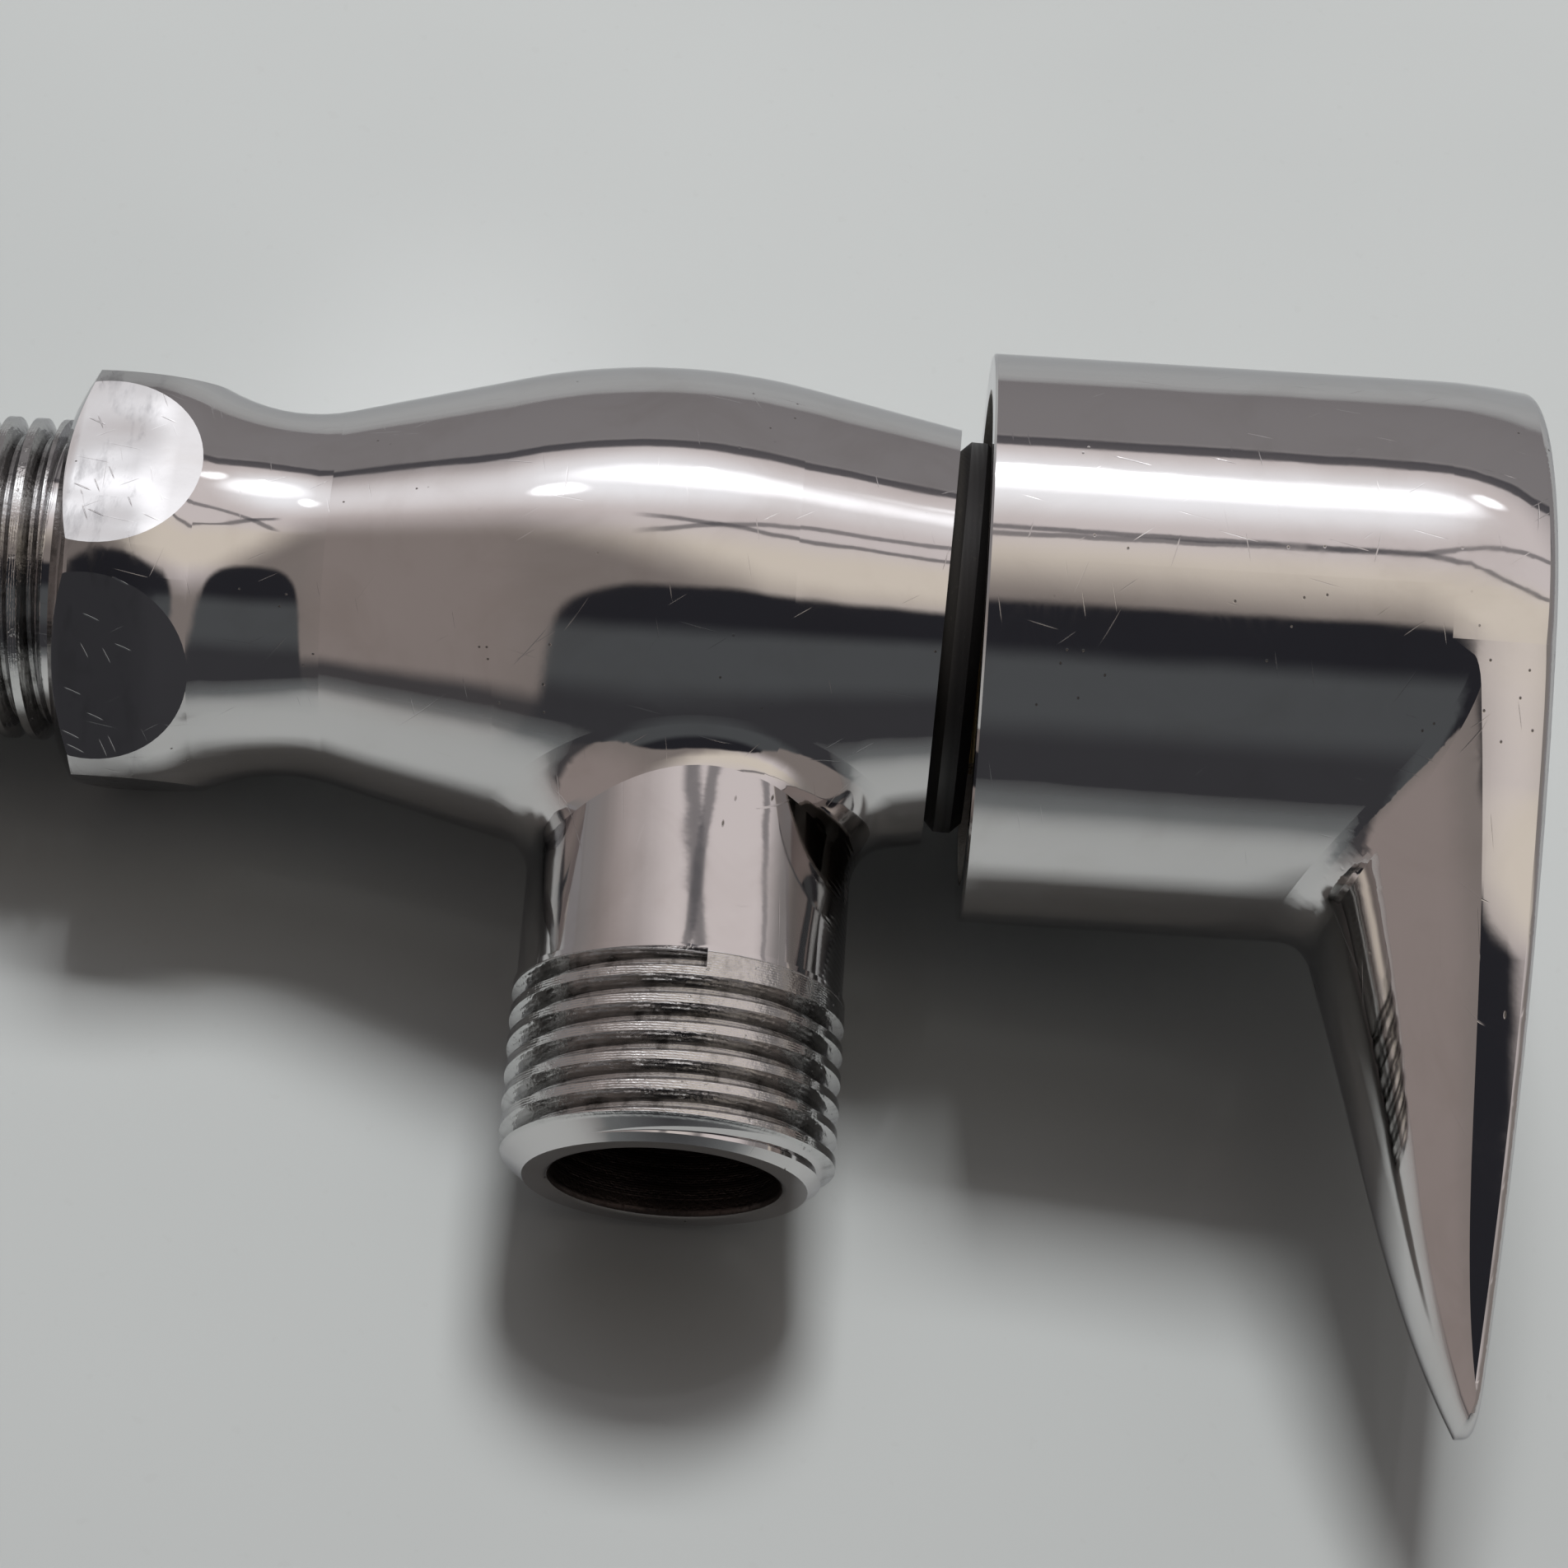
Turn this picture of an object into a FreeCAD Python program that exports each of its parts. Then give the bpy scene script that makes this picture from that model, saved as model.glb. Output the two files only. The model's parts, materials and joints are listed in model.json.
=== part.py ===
import FreeCAD, Part
import math
import os
import Sketcher
from FreeCAD import Placement, Rotation, Vector

# Chrome angle valve with a quarter-turn ceramic headwork.
# X runs along the inlet and the spindle, towards the handle. Z is up, the outlet points down.
# Stations along X are counted from the outlet's axis. At the end every part is moved so that the
# origin lies on the inlet's axis, where the inlet thread ends beside the hexagon. Lengths are in mm.

doc = FreeCAD.newDocument("AngleValve")


# Driving dimensions. A position along X is named _x, a height _z, a radius _r, a length _len.

SIZES = [
    # body, outside
    ("thread_r", 10.4775, "crest radius of the G 1/2 connecting threads"),
    ("thread_pitch", 1.814, "pitch of the G 1/2 threads"),
    ("thread_depth", 1.10, "depth of the thread groove"),
    ("crest_w", 0.46, "width left on a thread crest"),
    ("root_w", 0.26, "width at the bottom of the groove"),
    ("inlet_x", -55.0, "end face of the inlet"),
    ("undercut_w", 1.2, "plain groove between inlet thread and hexagon"),
    ("undercut_r", 9.35, "radius of that groove"),
    ("hex_x", -40.8, "left face of the wrench hexagon"),
    ("hex_peak_x", -38.2, "where the hexagon boss is thickest"),
    ("hex_r", 14.5, "largest radius of the hexagon boss"),
    ("hex_arc", 14.0, "arc of the boss in its lengthwise profile"),
    ("hex_flats", 26.0, "width across the flats"),
    ("hex_turn", 12.0, "turn of the flats about X, in degrees"),
    ("hex_round", 1.6, "rounding of the boss at its left face"),
    ("hex_chamfer", 0.7, "how far the dome at the left face cuts into the flats, in radius"),
    ("hex_dome_r", 26.6, "radius of that dome"),
    ("waist_arc", 12.0, "hollow arc between hexagon and belly"),
    ("flank_turn", 14.2, "slope of the straight flank from that hollow up to the belly, in degrees"),
    ("belly_x", -2.5, "where the belly is thickest"),
    ("belly_r", 16.28, "radius of the belly"),
    ("belly_arc", 41.4, "arc of the belly in its lengthwise profile"),
    ("flank_x", 5.8, "where the belly goes over into its straight flank towards the handle"),
    ("body_x", 14.7, "lower edge of the body's end face, towards the handle"),
    ("end_lean", 2.2, "lean of that face, in degrees: it is not quite square, and the ring lies on it"),
    ("end_r", 13.5, "radius at which that lean is counted, the end face's own"),
    ("neck_r", 10.25, "radius of the outlet's neck"),
    ("neck_fillet", 4.0, "fillet between neck and belly"),
    ("collar_r", 10.45, "radius of the plain collar above the outlet thread"),
    ("collar_z", -26.0, "top of that collar"),
    ("collar_len", 0.9, "its length"),
    ("outlet_z", -38.2, "end face of the outlet"),
    ("end_chamfer", 1.4, "chamfer on the ends of both threads"),
    ("lip_fillet", 0.5, "rounding of the outlet's mouth"),
    # body, inside
    ("bore_r", 7.15, "radius of the inlet and outlet bores"),
    ("throat_r", 6.5, "radius of the outlet's way between the chamber and its bore"),
    ("throat_z", -18.0, "height where the outlet's bore narrows to that way"),
    ("seat_bore_r", 5.6, "radius of the water way through the seat"),
    ("seat_bore_len", 3.0, "length of that water way"),
    ("seat_x", -9.0, "face of the seat"),
    ("chamber_r", 11.3, "radius of the chamber behind the seat"),
    ("chamber_x", 3.2, "end of the chamber, where the headwork thread starts"),
    ("head_thread_r", 10.4, "radius of the headwork's threaded length"),
    ("flange_r", 10.9, "radius of the headwork's flange"),
    ("flange_len", 1.1, "thickness of that flange"),
    # headwork housing
    ("skirt_r", 9.1, "outer radius of the housing's skirt"),
    ("skirt_gap", 0.8, "from the skirt's end to the seat"),
    ("cage_r", 8.0, "inner radius of the skirt"),
    ("window_len", 3.2, "length of a water window in the skirt"),
    ("window_w", 11.0, "width of a water window"),
    ("lug_w", 3.0, "width of the fixed disc's lugs"),
    ("wrench_flats", 17.0, "width across the housing's hexagon"),
    ("wrench_len", 6.6, "length of that hexagon"),
    ("tube_r", 6.9, "outer radius of the housing's tube"),
    ("tube_x", 27.0, "outer end of the tube"),
    ("housing_seal_r", 0.74, "section radius of the housing's O-ring"),
    # headwork inner parts
    ("seal_len", 2.6, "thickness of the seat seal"),
    ("seal_in_r", 5.95, "inner radius of the seat seal"),
    ("spacer_in_r", 5.2, "inner radius of the spacer inside the seal"),
    ("disc_r", 7.8, "radius of the ceramic discs"),
    ("disc_len", 2.8, "thickness of a ceramic disc"),
    ("port_in_r", 2.3, "inner radius of a disc's port"),
    ("port_out_r", 6.5, "outer radius of a disc's port"),
    ("port_half", 38.0, "half the angle of a port, in degrees"),
    ("driver_len", 1.8, "thickness of the driver plate"),
    ("tongue_w", 3.6, "width of the spindle's tongue"),
    ("tongue_len", 0.9, "how far the tongue enters the driver"),
    ("core_r", 3.1, "radius of the spindle beside the windows"),
    ("core_len", 1.4, "length of that core"),
    ("collar_spindle_r", 6.3, "radius of the spindle's shoulder"),
    ("collar_spindle_len", 1.7, "thickness of the shoulder"),
    ("slip_len", 0.8, "thickness of the slip washers"),
    ("spindle_r", 4.45, "radius of the spindle in its bearing"),
    ("ring_groove_r", 3.2, "radius at the bottom of an O-ring groove"),
    ("ring_a_x", 14.0, "centre of the inner spindle O-ring"),
    ("ring_b_x", 18.0, "centre of the outer spindle O-ring"),
    ("clip_len", 0.8, "thickness of the snap ring"),
    ("clip_r", 6.0, "outer radius of the snap ring"),
    ("clip_groove_r", 3.85, "radius at the bottom of its groove"),
    ("spline_x", 29.4, "start of the splined end"),
    ("spline_r", 4.0, "crest radius of the spline"),
    ("spline_depth", 0.42, "depth of the spline's grooves"),
    ("spline_w", 0.86, "width of a spline groove at the crest"),
    ("spline_teeth", 20.0, "number of spline teeth"),
    ("spindle_x", 39.0, "outer end of the spindle"),
    ("tapped_len", 12.0, "depth of the tapped hole in the spindle"),
    # black ring
    ("ring_wide", 2.6, "width of the black ring outside the headwork's hexagon"),
    ("ring_len", 2.45, "thickness of the black ring"),
    ("ring_round", 0.7, "rounding of its rim"),
    # handle
    ("handle_x", 17.4, "open end of the handle"),
    ("handle_r", 18.5, "radius of the handle's barrel"),
    ("front_x", 52.5, "middle of the handle's front"),
    ("front_dome_r", 500.0, "radius of the shallow dome on the front"),
    ("taper_len", 3.6, "length over which the handle's side draws in before the front"),
    ("taper_turn", 9.0, "slope of that taper, in degrees"),
    ("taper_round", 40.0, "soft rounding where it starts"),
    ("front_round", 0.9, "rounding round the barrel's front"),
    ("lever_round", 0.7, "rounding at the lever's tip"),
    ("back_round", 2.6, "fillet between the barrel and the lever's back"),
    ("rim_round", 0.15, "broken edge at the handle's open end"),
    ("tip_z", -47.5, "centre of the lever's round tip"),
    ("tip_r", 3.5, "radius of the tip"),
    ("crown_a_z", 0.0, "first section of the lever's crowned back"),
    ("crown_a_x", 33.8, "back of that section"),
    ("crown_a_r", 1.138, "radius of that section, as a share of the barrel's"),
    ("crown_b_z", -16.0, "second section of the crowned back"),
    ("crown_b_x", 38.3, "back of that section"),
    ("crown_b_r", 0.812, "radius of that section, as a share of the barrel's"),
    ("crown_c_z", -30.0, "third section of the crowned back"),
    ("crown_c_x", 42.05, "back of that section"),
    ("crown_c_r", 0.545, "radius of that section, as a share of the barrel's"),
    ("crown_d_z", -40.0, "fourth section of the crowned back"),
    ("crown_d_x", 44.65, "back of that section"),
    ("crown_d_r", 0.354, "radius of that section, as a share of the barrel's"),
    ("crown_e_z", -47.0, "fifth section of the crowned back"),
    ("crown_e_x", 47.05, "back of that section"),
    ("crown_e_r", 0.221, "radius of that section, as a share of the barrel's"),
    ("crown_f_z", -52.0, "last section of the crowned back"),
    ("crown_f_x", 49.4, "back of that section"),
    ("crown_f_r", 0.125, "radius of that section, as a share of the barrel's"),
    ("cavity_r", 15.9, "radius of the hollow in the handle"),
    ("cavity_x", 44.0, "floor of the hollow"),
    ("boss_r", 8.0, "radius of the boss that holds the spline bush"),
    ("boss_x", 29.0, "open end of the boss"),
    ("bush_r", 6.0, "outer radius of the spline bush"),
    ("bush_len", 10.6, "length of the bush"),
    ("key_w", 2.0, "width of the key on the bush"),
    ("key_up", 0.9, "height of the key"),
    ("web_len", 2.4, "web that the screw clamps"),
    ("pocket_r", 5.8, "radius of the screw pocket"),
    ("cap_r", 6.9, "radius of the front cap"),
    ("cap_len", 2.6, "depth that the cap is sunk"),
    ("cap_up", 0.35, "how far the cap stands proud"),
    ("cap_plug_len", 2.2, "length of the cap's plug"),
    # screw
    ("screw_r", 2.5, "radius of the handle screw"),
    ("screw_len", 15.0, "length of its shank"),
    ("head_r", 4.3, "radius of its head"),
    ("head_len", 2.8, "height of its head"),
    ("lock_len", 1.0, "thickness of the spring washer"),
    ("lock_r", 4.4, "outer radius of the spring washer"),
    # clearances
    ("thread_fit", 0.05, "radial play in the headwork thread and the screw"),
    ("slide_fit", 0.05, "radial play of the spindle in its bearing"),
    ("loose_fit", 0.10, "play of parts that drop in"),
    ("seal_fit", 0.02, "gap between a moving seal and its bore"),
    ("run_gap", 0.05, "axial gap between a moving face and a fixed one"),
]

sheet = doc.addObject("Spreadsheet::Sheet", "Sizes")
for row, (name, size, note) in enumerate(SIZES, start=1):
    sheet.set("A%d" % row, note)
    sheet.set("B%d" % row, str(size))
    sheet.setAlias("B%d" % row, name)
doc.recompute()


class Dim:
    """A length that knows its value now and the expression that drives it."""

    def __init__(self, value, text):
        self.value = value
        self.text = text

    def _join(self, other, sign, value):
        if not isinstance(other, Dim):
            other = Dim(other, repr(float(other)))
        return Dim(value, "(%s %s %s)" % (self.text, sign, other.text))

    def __add__(self, other):
        return self._join(other, "+", self.value + number(other))

    def __sub__(self, other):
        return self._join(other, "-", self.value - number(other))

    def __mul__(self, other):
        return self._join(other, "*", self.value * number(other))

    def __truediv__(self, other):
        return self._join(other, "/", self.value / number(other))

    def __neg__(self):
        return Dim(-self.value, "(0 - %s)" % self.text)


def number(value):
    return value.value if isinstance(value, Dim) else float(value)


def size(name):
    return Dim(float(sheet.get(name)), "Sizes." + name)


def fixed(value):
    return Dim(float(value), repr(float(value)))


def bind(obj, prop, dim):
    obj.setExpression(prop, dim.text)


def sealFloor():
    """Floor of the body's recess: the flange's O-ring lies between it and the flange."""
    return size("body_x") - size("flange_len") - size("housing_seal_r") * 2 - size("loose_fit")


def origin(body, role):
    for feature in body.Origin.OriginFeatures:
        if feature.Role == role:
            return feature


# Sketches. In XZ a point is (along X, height Z), in YZ it is (Y, Z), in XY it is (X, Y).

def newSketch(body, role, name, offset=None):
    sketch = body.newObject("Sketcher::SketchObject", name)
    sketch.AttachmentSupport = [(origin(body, role), "")]
    sketch.MapMode = "FlatFace"
    if offset is not None:
        sketch.AttachmentOffset = Placement(Vector(0, 0, offset.value), Rotation())
        bind(sketch, "AttachmentOffset.Base.z", offset)
    return sketch


def constrain(sketch, kind, dim, *refs):
    index = sketch.addConstraint(Sketcher.Constraint(kind, *refs, dim.value))
    bind(sketch, "Constraints[%d]" % index, dim)


def place(sketch, geometry, end, point):
    """Hold one end of a line or arc at a point that is given by two sizes."""
    constrain(sketch, "DistanceX", point[0], -1, 1, geometry, end)
    constrain(sketch, "DistanceY", point[1], -1, 1, geometry, end)


def polygon(sketch, points):
    first = sketch.GeometryCount
    count = len(points)
    for i, point in enumerate(points):
        after = points[(i + 1) % count]
        start = Vector(point[0].value, point[1].value, 0)
        end = Vector(after[0].value, after[1].value, 0)
        sketch.addGeometry(Part.LineSegment(start, end))
    for i, point in enumerate(points):
        following = first + (i + 1) % count
        sketch.addConstraint(Sketcher.Constraint("Coincident", first + i, 2, following, 1))
        place(sketch, first + i, 1, point)


def circle(sketch, radius, centre=None):
    y, z = centre or (fixed(0), fixed(0))
    index = sketch.addGeometry(Part.Circle(Vector(y.value, z.value, 0), Vector(0, 0, 1), radius.value))
    constrain(sketch, "Radius", radius, index)
    if centre is None:
        sketch.addConstraint(Sketcher.Constraint("Coincident", index, 3, -1, 1))
    else:
        place(sketch, index, 3, centre)


def regular(sketch, flats, sides, turn):
    """A polygon with the given width across its flats, one flat turned from the sketch's x."""
    radius = flats / (2 * math.cos(math.pi / sides))
    corners = []
    for i in range(sides):
        angle = "(Sizes.%s + %r) * 1 deg" % (turn, 360.0 * (i + 0.5) / sides)
        now = math.radians(size(turn).value + 360.0 * (i + 0.5) / sides)
        y = Dim(-radius.value * math.cos(now), "(0 - %s * cos(%s))" % (radius.text, angle))
        z = Dim(radius.value * math.sin(now), "(%s * sin(%s))" % (radius.text, angle))
        corners.append((y, z))
    polygon(sketch, corners)


def sector(sketch, inner, outer, half, middle):
    """A port between two arcs, with its middle at the given angle."""
    def spot(radius, side):
        now = math.radians(middle + side * half.value)
        angle = "(%r + %r * %s) * 1 deg" % (float(middle), float(side), half.text)
        y = Dim(radius.value * math.cos(now), "(%s * cos(%s))" % (radius.text, angle))
        z = Dim(radius.value * math.sin(now), "(%s * sin(%s))" % (radius.text, angle))
        return y, z

    low, high = math.radians(middle - half.value), math.radians(middle + half.value)
    ring = Vector(0, 0, 1)
    first = sketch.GeometryCount
    for radius in (inner, outer):
        index = sketch.addGeometry(Part.ArcOfCircle(Part.Circle(Vector(), ring, radius.value), low, high))
        sketch.addConstraint(Sketcher.Constraint("Coincident", index, 3, -1, 1))
        constrain(sketch, "Radius", radius, index)
    for side in (-1, 1):
        near, far = spot(inner, side), spot(outer, side)
        start = Vector(near[0].value, near[1].value, 0)
        index = sketch.addGeometry(Part.LineSegment(start, Vector(far[0].value, far[1].value, 0)))
        end = 1 if side < 0 else 2
        sketch.addConstraint(Sketcher.Constraint("Coincident", index, 1, first, end))
        sketch.addConstraint(Sketcher.Constraint("Coincident", index, 2, first + 1, end))
        # the radius is held already, so one coordinate of each end is enough
        if abs(start.x) > abs(start.y):
            constrain(sketch, "DistanceY", near[1], -1, 1, index, 1)
            constrain(sketch, "DistanceY", far[1], -1, 1, index, 2)
        else:
            constrain(sketch, "DistanceX", near[0], -1, 1, index, 1)
            constrain(sketch, "DistanceX", far[0], -1, 1, index, 2)


# Bodies and their features.

def newBody(label):
    body = doc.addObject("PartDesign::Body", label)
    body.Label = label
    return body


def revolve(body, points, role="XZ_Plane", axis="X_Axis", cut=False, angle=360.0):
    name = "Groove" if cut else "Revolution"
    sketch = newSketch(body, role, name + "Profile")
    polygon(sketch, points)
    feature = body.newObject("PartDesign::" + name, name)
    feature.Profile = sketch
    feature.ReferenceAxis = (origin(body, axis), [""])
    feature.Angle = angle
    doc.recompute()
    return feature


def domeCut(body, start, low, high, radius):
    """Turn off the corner outside a ball on the X axis, from one radius at the start out to another."""
    sketch = newSketch(body, "XZ_Plane", "DomeProfile")
    centre = start.value + math.sqrt(radius.value ** 2 - low.value ** 2)
    end = centre - math.sqrt(radius.value ** 2 - high.value ** 2)
    base = Part.Circle(Vector(centre, 0, 0), Vector(0, 0, 1), radius.value)
    angles = [math.atan2(high.value, end - centre), math.atan2(low.value, start.value - centre)]
    arc = sketch.addGeometry(Part.ArcOfCircle(base, *angles))
    corner = Vector(start.value, high.value, 0)
    side = sketch.addGeometry(Part.LineSegment(Vector(start.value, low.value, 0), corner))
    top = sketch.addGeometry(Part.LineSegment(corner, Vector(end, high.value, 0)))
    for first, firstEnd, second, secondEnd in ((arc, 2, side, 1), (side, 2, top, 1), (top, 2, arc, 1)):
        sketch.addConstraint(Sketcher.Constraint("Coincident", first, firstEnd, second, secondEnd))
    sketch.addConstraint(Sketcher.Constraint("PointOnObject", arc, 3, -1))
    sketch.addConstraint(Sketcher.Constraint("Vertical", side))
    sketch.addConstraint(Sketcher.Constraint("Horizontal", top))
    constrain(sketch, "Radius", radius, arc)
    place(sketch, side, 1, (start, low))
    constrain(sketch, "DistanceY", high, -1, 1, side, 2)
    feature = body.newObject("PartDesign::Groove", "Dome")
    feature.Profile = sketch
    feature.ReferenceAxis = (origin(body, "X_Axis"), [""])
    doc.recompute()
    return feature


def turned(label, points, angle=360.0):
    """A lathe part about X, from (station, radius) pairs."""
    body = newBody(label)
    revolve(body, points, angle=angle)
    return body


def ringPoints(start, end, inner, outer):
    return [(start, inner), (start, outer), (end, outer), (end, inner)]


def pad(body, sketch, length, reversed_=False):
    feature = body.newObject("PartDesign::Pad", "Pad")
    feature.Profile = sketch
    bind(feature, "Length", length)
    feature.Reversed = reversed_
    doc.recompute()
    return feature


def pocket(body, sketch, length=None, reversed_=False):
    """Cut the sketch away, over a length or right through both ways."""
    before = body.Shape.Volume
    feature = body.newObject("PartDesign::Pocket", "Pocket")
    feature.Profile = sketch
    if length is None:
        feature.Type = "ThroughAll"
        feature.Midplane = True
    else:
        bind(feature, "Length", length)
        feature.Reversed = reversed_
    doc.recompute()
    if not body.Shape.Volume < before - 1e-6:
        raise RuntimeError("%s: %s cuts nothing" % (body.Label, feature.Name))
    return feature


def pattern(body, feature, axis, count):
    polar = body.newObject("PartDesign::PolarPattern", "PolarPattern")
    polar.Originals = [feature]
    polar.Axis = (origin(body, axis), [""])
    polar.Angle = 360
    bind(polar, "Occurrences", count)
    body.Tip = polar
    doc.recompute()


def fillet(body, radius, test):
    """Round the edges of the body that pass the test."""
    before = body.Tip
    names = ["Edge%d" % (i + 1) for i, edge in enumerate(body.Shape.Edges) if test(edge.BoundBox)]
    feature = body.newObject("PartDesign::Fillet", "Fillet")
    feature.Base = (before, names)
    bind(feature, "Radius", radius)
    doc.recompute()
    return feature


def thread(body, axis, role, start, turns_len, downward):
    """Cut a helical groove with a blunt crest, from just outside the end inwards."""
    half = (size("thread_pitch") - size("crest_w")) / 2
    root = size("root_w") / 2
    top = size("thread_r") + fixed(0.1)
    bottom = size("thread_r") - size("thread_depth")
    sketch = newSketch(body, role, "ThreadProfile")
    profile = [(start - half, top), (start + half, top), (start + root, bottom), (start - root, bottom)]
    if downward:
        profile = [(radius, station) for station, radius in profile]
    polygon(sketch, profile)
    helix = body.newObject("PartDesign::SubtractiveHelix", "Thread")
    helix.Profile = sketch
    helix.ReferenceAxis = (origin(body, axis), [""])
    helix.Mode = "pitch-height-angle"
    bind(helix, "Pitch", size("thread_pitch"))
    bind(helix, "Height", turns_len)
    before = body.Shape.Volume
    doc.recompute()
    if not body.Shape.Volume < before - 1e-6:
        raise RuntimeError("%s: the thread cuts nothing" % body.Label)
    return helix


# Valve body: one brass casting with both connections.

def endRise():
    """How much further the upper edge of the body's leaning end face lies than its lower edge."""
    lean = Dim(math.tan(math.radians(size("end_lean").value)), "tan(Sizes.end_lean * 1 deg)")
    return size("end_r") * 2 * lean


def tangentProfile(sketch):
    """Boss, hollow and belly as tangent arcs, the belly with a straight flank on each side."""
    left, right = size("hex_x"), size("body_x") + endRise() + fixed(1)
    bossX, bossY = size("hex_peak_x"), size("hex_r") - size("hex_arc")
    bellyX, bellyY = size("belly_x"), size("belly_r") - size("belly_arc")
    boss, waist, belly = size("hex_arc"), size("waist_arc"), size("belly_arc")
    flank = size("flank_x")

    # the left flank touches the belly, and the hollow touches that flank and the boss
    slope = math.radians(size("flank_turn").value)
    along, across = Vector(math.cos(slope), math.sin(slope), 0), Vector(-math.sin(slope), math.cos(slope), 0)
    bossAt, bellyAt = Vector(bossX.value, bossY.value, 0), Vector(bellyX.value, bellyY.value, 0)
    flankB = bellyAt + across * belly.value
    rise = (flankB - bossAt).dot(across) + waist.value
    reach = math.sqrt((boss.value + waist.value) ** 2 - rise ** 2)
    waistAt = bossAt + across * rise + along * reach
    flankA = waistAt - across * waist.value
    joinA = bossAt + (waistAt - bossAt) * (boss.value / (boss.value + waist.value))
    # the rounding at the left face touches that face and the boss
    soft = size("hex_round")
    softX = left.value + soft.value
    softY = bossY.value + math.sqrt((boss.value - soft.value) ** 2 - (softX - bossX.value) ** 2)
    softAt = Vector(softX, softY, 0)
    joinC = bossAt + (softAt - bossAt) * (boss.value / (boss.value - soft.value))
    # the right flank leaves the belly at its station
    run = flank.value - bellyX.value
    drop = math.sqrt(belly.value ** 2 - run ** 2)
    flankC = Vector(flank.value, bellyY.value + drop, 0)
    end = Vector(right.value, flankC.y - run / drop * (right.value - flank.value), 0)
    foot, start, shoulder = Vector(right.value, 0, 0), Vector(left.value, 0, 0), Vector(left.value, softY, 0)

    def arc(centre, radius, first, second):
        base = Part.Circle(centre, Vector(0, 0, 1), radius)
        angles = [math.atan2(spot.y - centre.y, spot.x - centre.x) for spot in (first, second)]
        return sketch.addGeometry(Part.ArcOfCircle(base, min(angles), max(angles)))

    bossArc = arc(bossAt, boss.value, joinA, joinC)
    softArc = arc(softAt, soft.value, joinC, shoulder)
    waistArc = arc(waistAt, waist.value, joinA, flankA)
    bellyArc = arc(bellyAt, belly.value, flankC, flankB)
    leftFlank, rightFlank, rightLine, axisLine, leftLine = (
        sketch.addGeometry(Part.LineSegment(first, second)) for first, second in
        ((flankA, flankB), (flankC, end), (end, foot), (foot, start), (start, shoulder)))
    # arcs run anticlockwise: the boss starts at its join, the belly ends at the left flank
    for first, firstEnd, second, secondEnd in ((bossArc, 1, waistArc, 1), (waistArc, 2, leftFlank, 1),
                                               (leftFlank, 2, bellyArc, 2), (bellyArc, 1, rightFlank, 1),
                                               (bossArc, 2, softArc, 1), (leftLine, 2, softArc, 2)):
        sketch.addConstraint(Sketcher.Constraint("Tangent", first, firstEnd, second, secondEnd))
    for first, firstEnd, second, secondEnd in ((rightFlank, 2, rightLine, 1), (rightLine, 2, axisLine, 1),
                                               (axisLine, 2, leftLine, 1)):
        sketch.addConstraint(Sketcher.Constraint("Coincident", first, firstEnd, second, secondEnd))
    constrain(sketch, "Radius", boss, bossArc)
    constrain(sketch, "Radius", soft, softArc)
    constrain(sketch, "Radius", waist, waistArc)
    constrain(sketch, "Radius", belly, bellyArc)
    constrain(sketch, "DistanceX", flank, -1, 1, bellyArc, 1)
    slopeAt = sketch.addConstraint(Sketcher.Constraint("Angle", leftFlank, slope))
    sketch.setExpression("Constraints[%d]" % slopeAt, "Sizes.flank_turn * 1 deg")
    place(sketch, bossArc, 3, (bossX, bossY))
    place(sketch, bellyArc, 3, (bellyX, bellyY))
    place(sketch, rightLine, 2, (right, fixed(0)))
    place(sketch, axisLine, 2, (left, fixed(0)))
    for line in (rightLine, leftLine):
        sketch.addConstraint(Sketcher.Constraint("Vertical", line))


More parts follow.
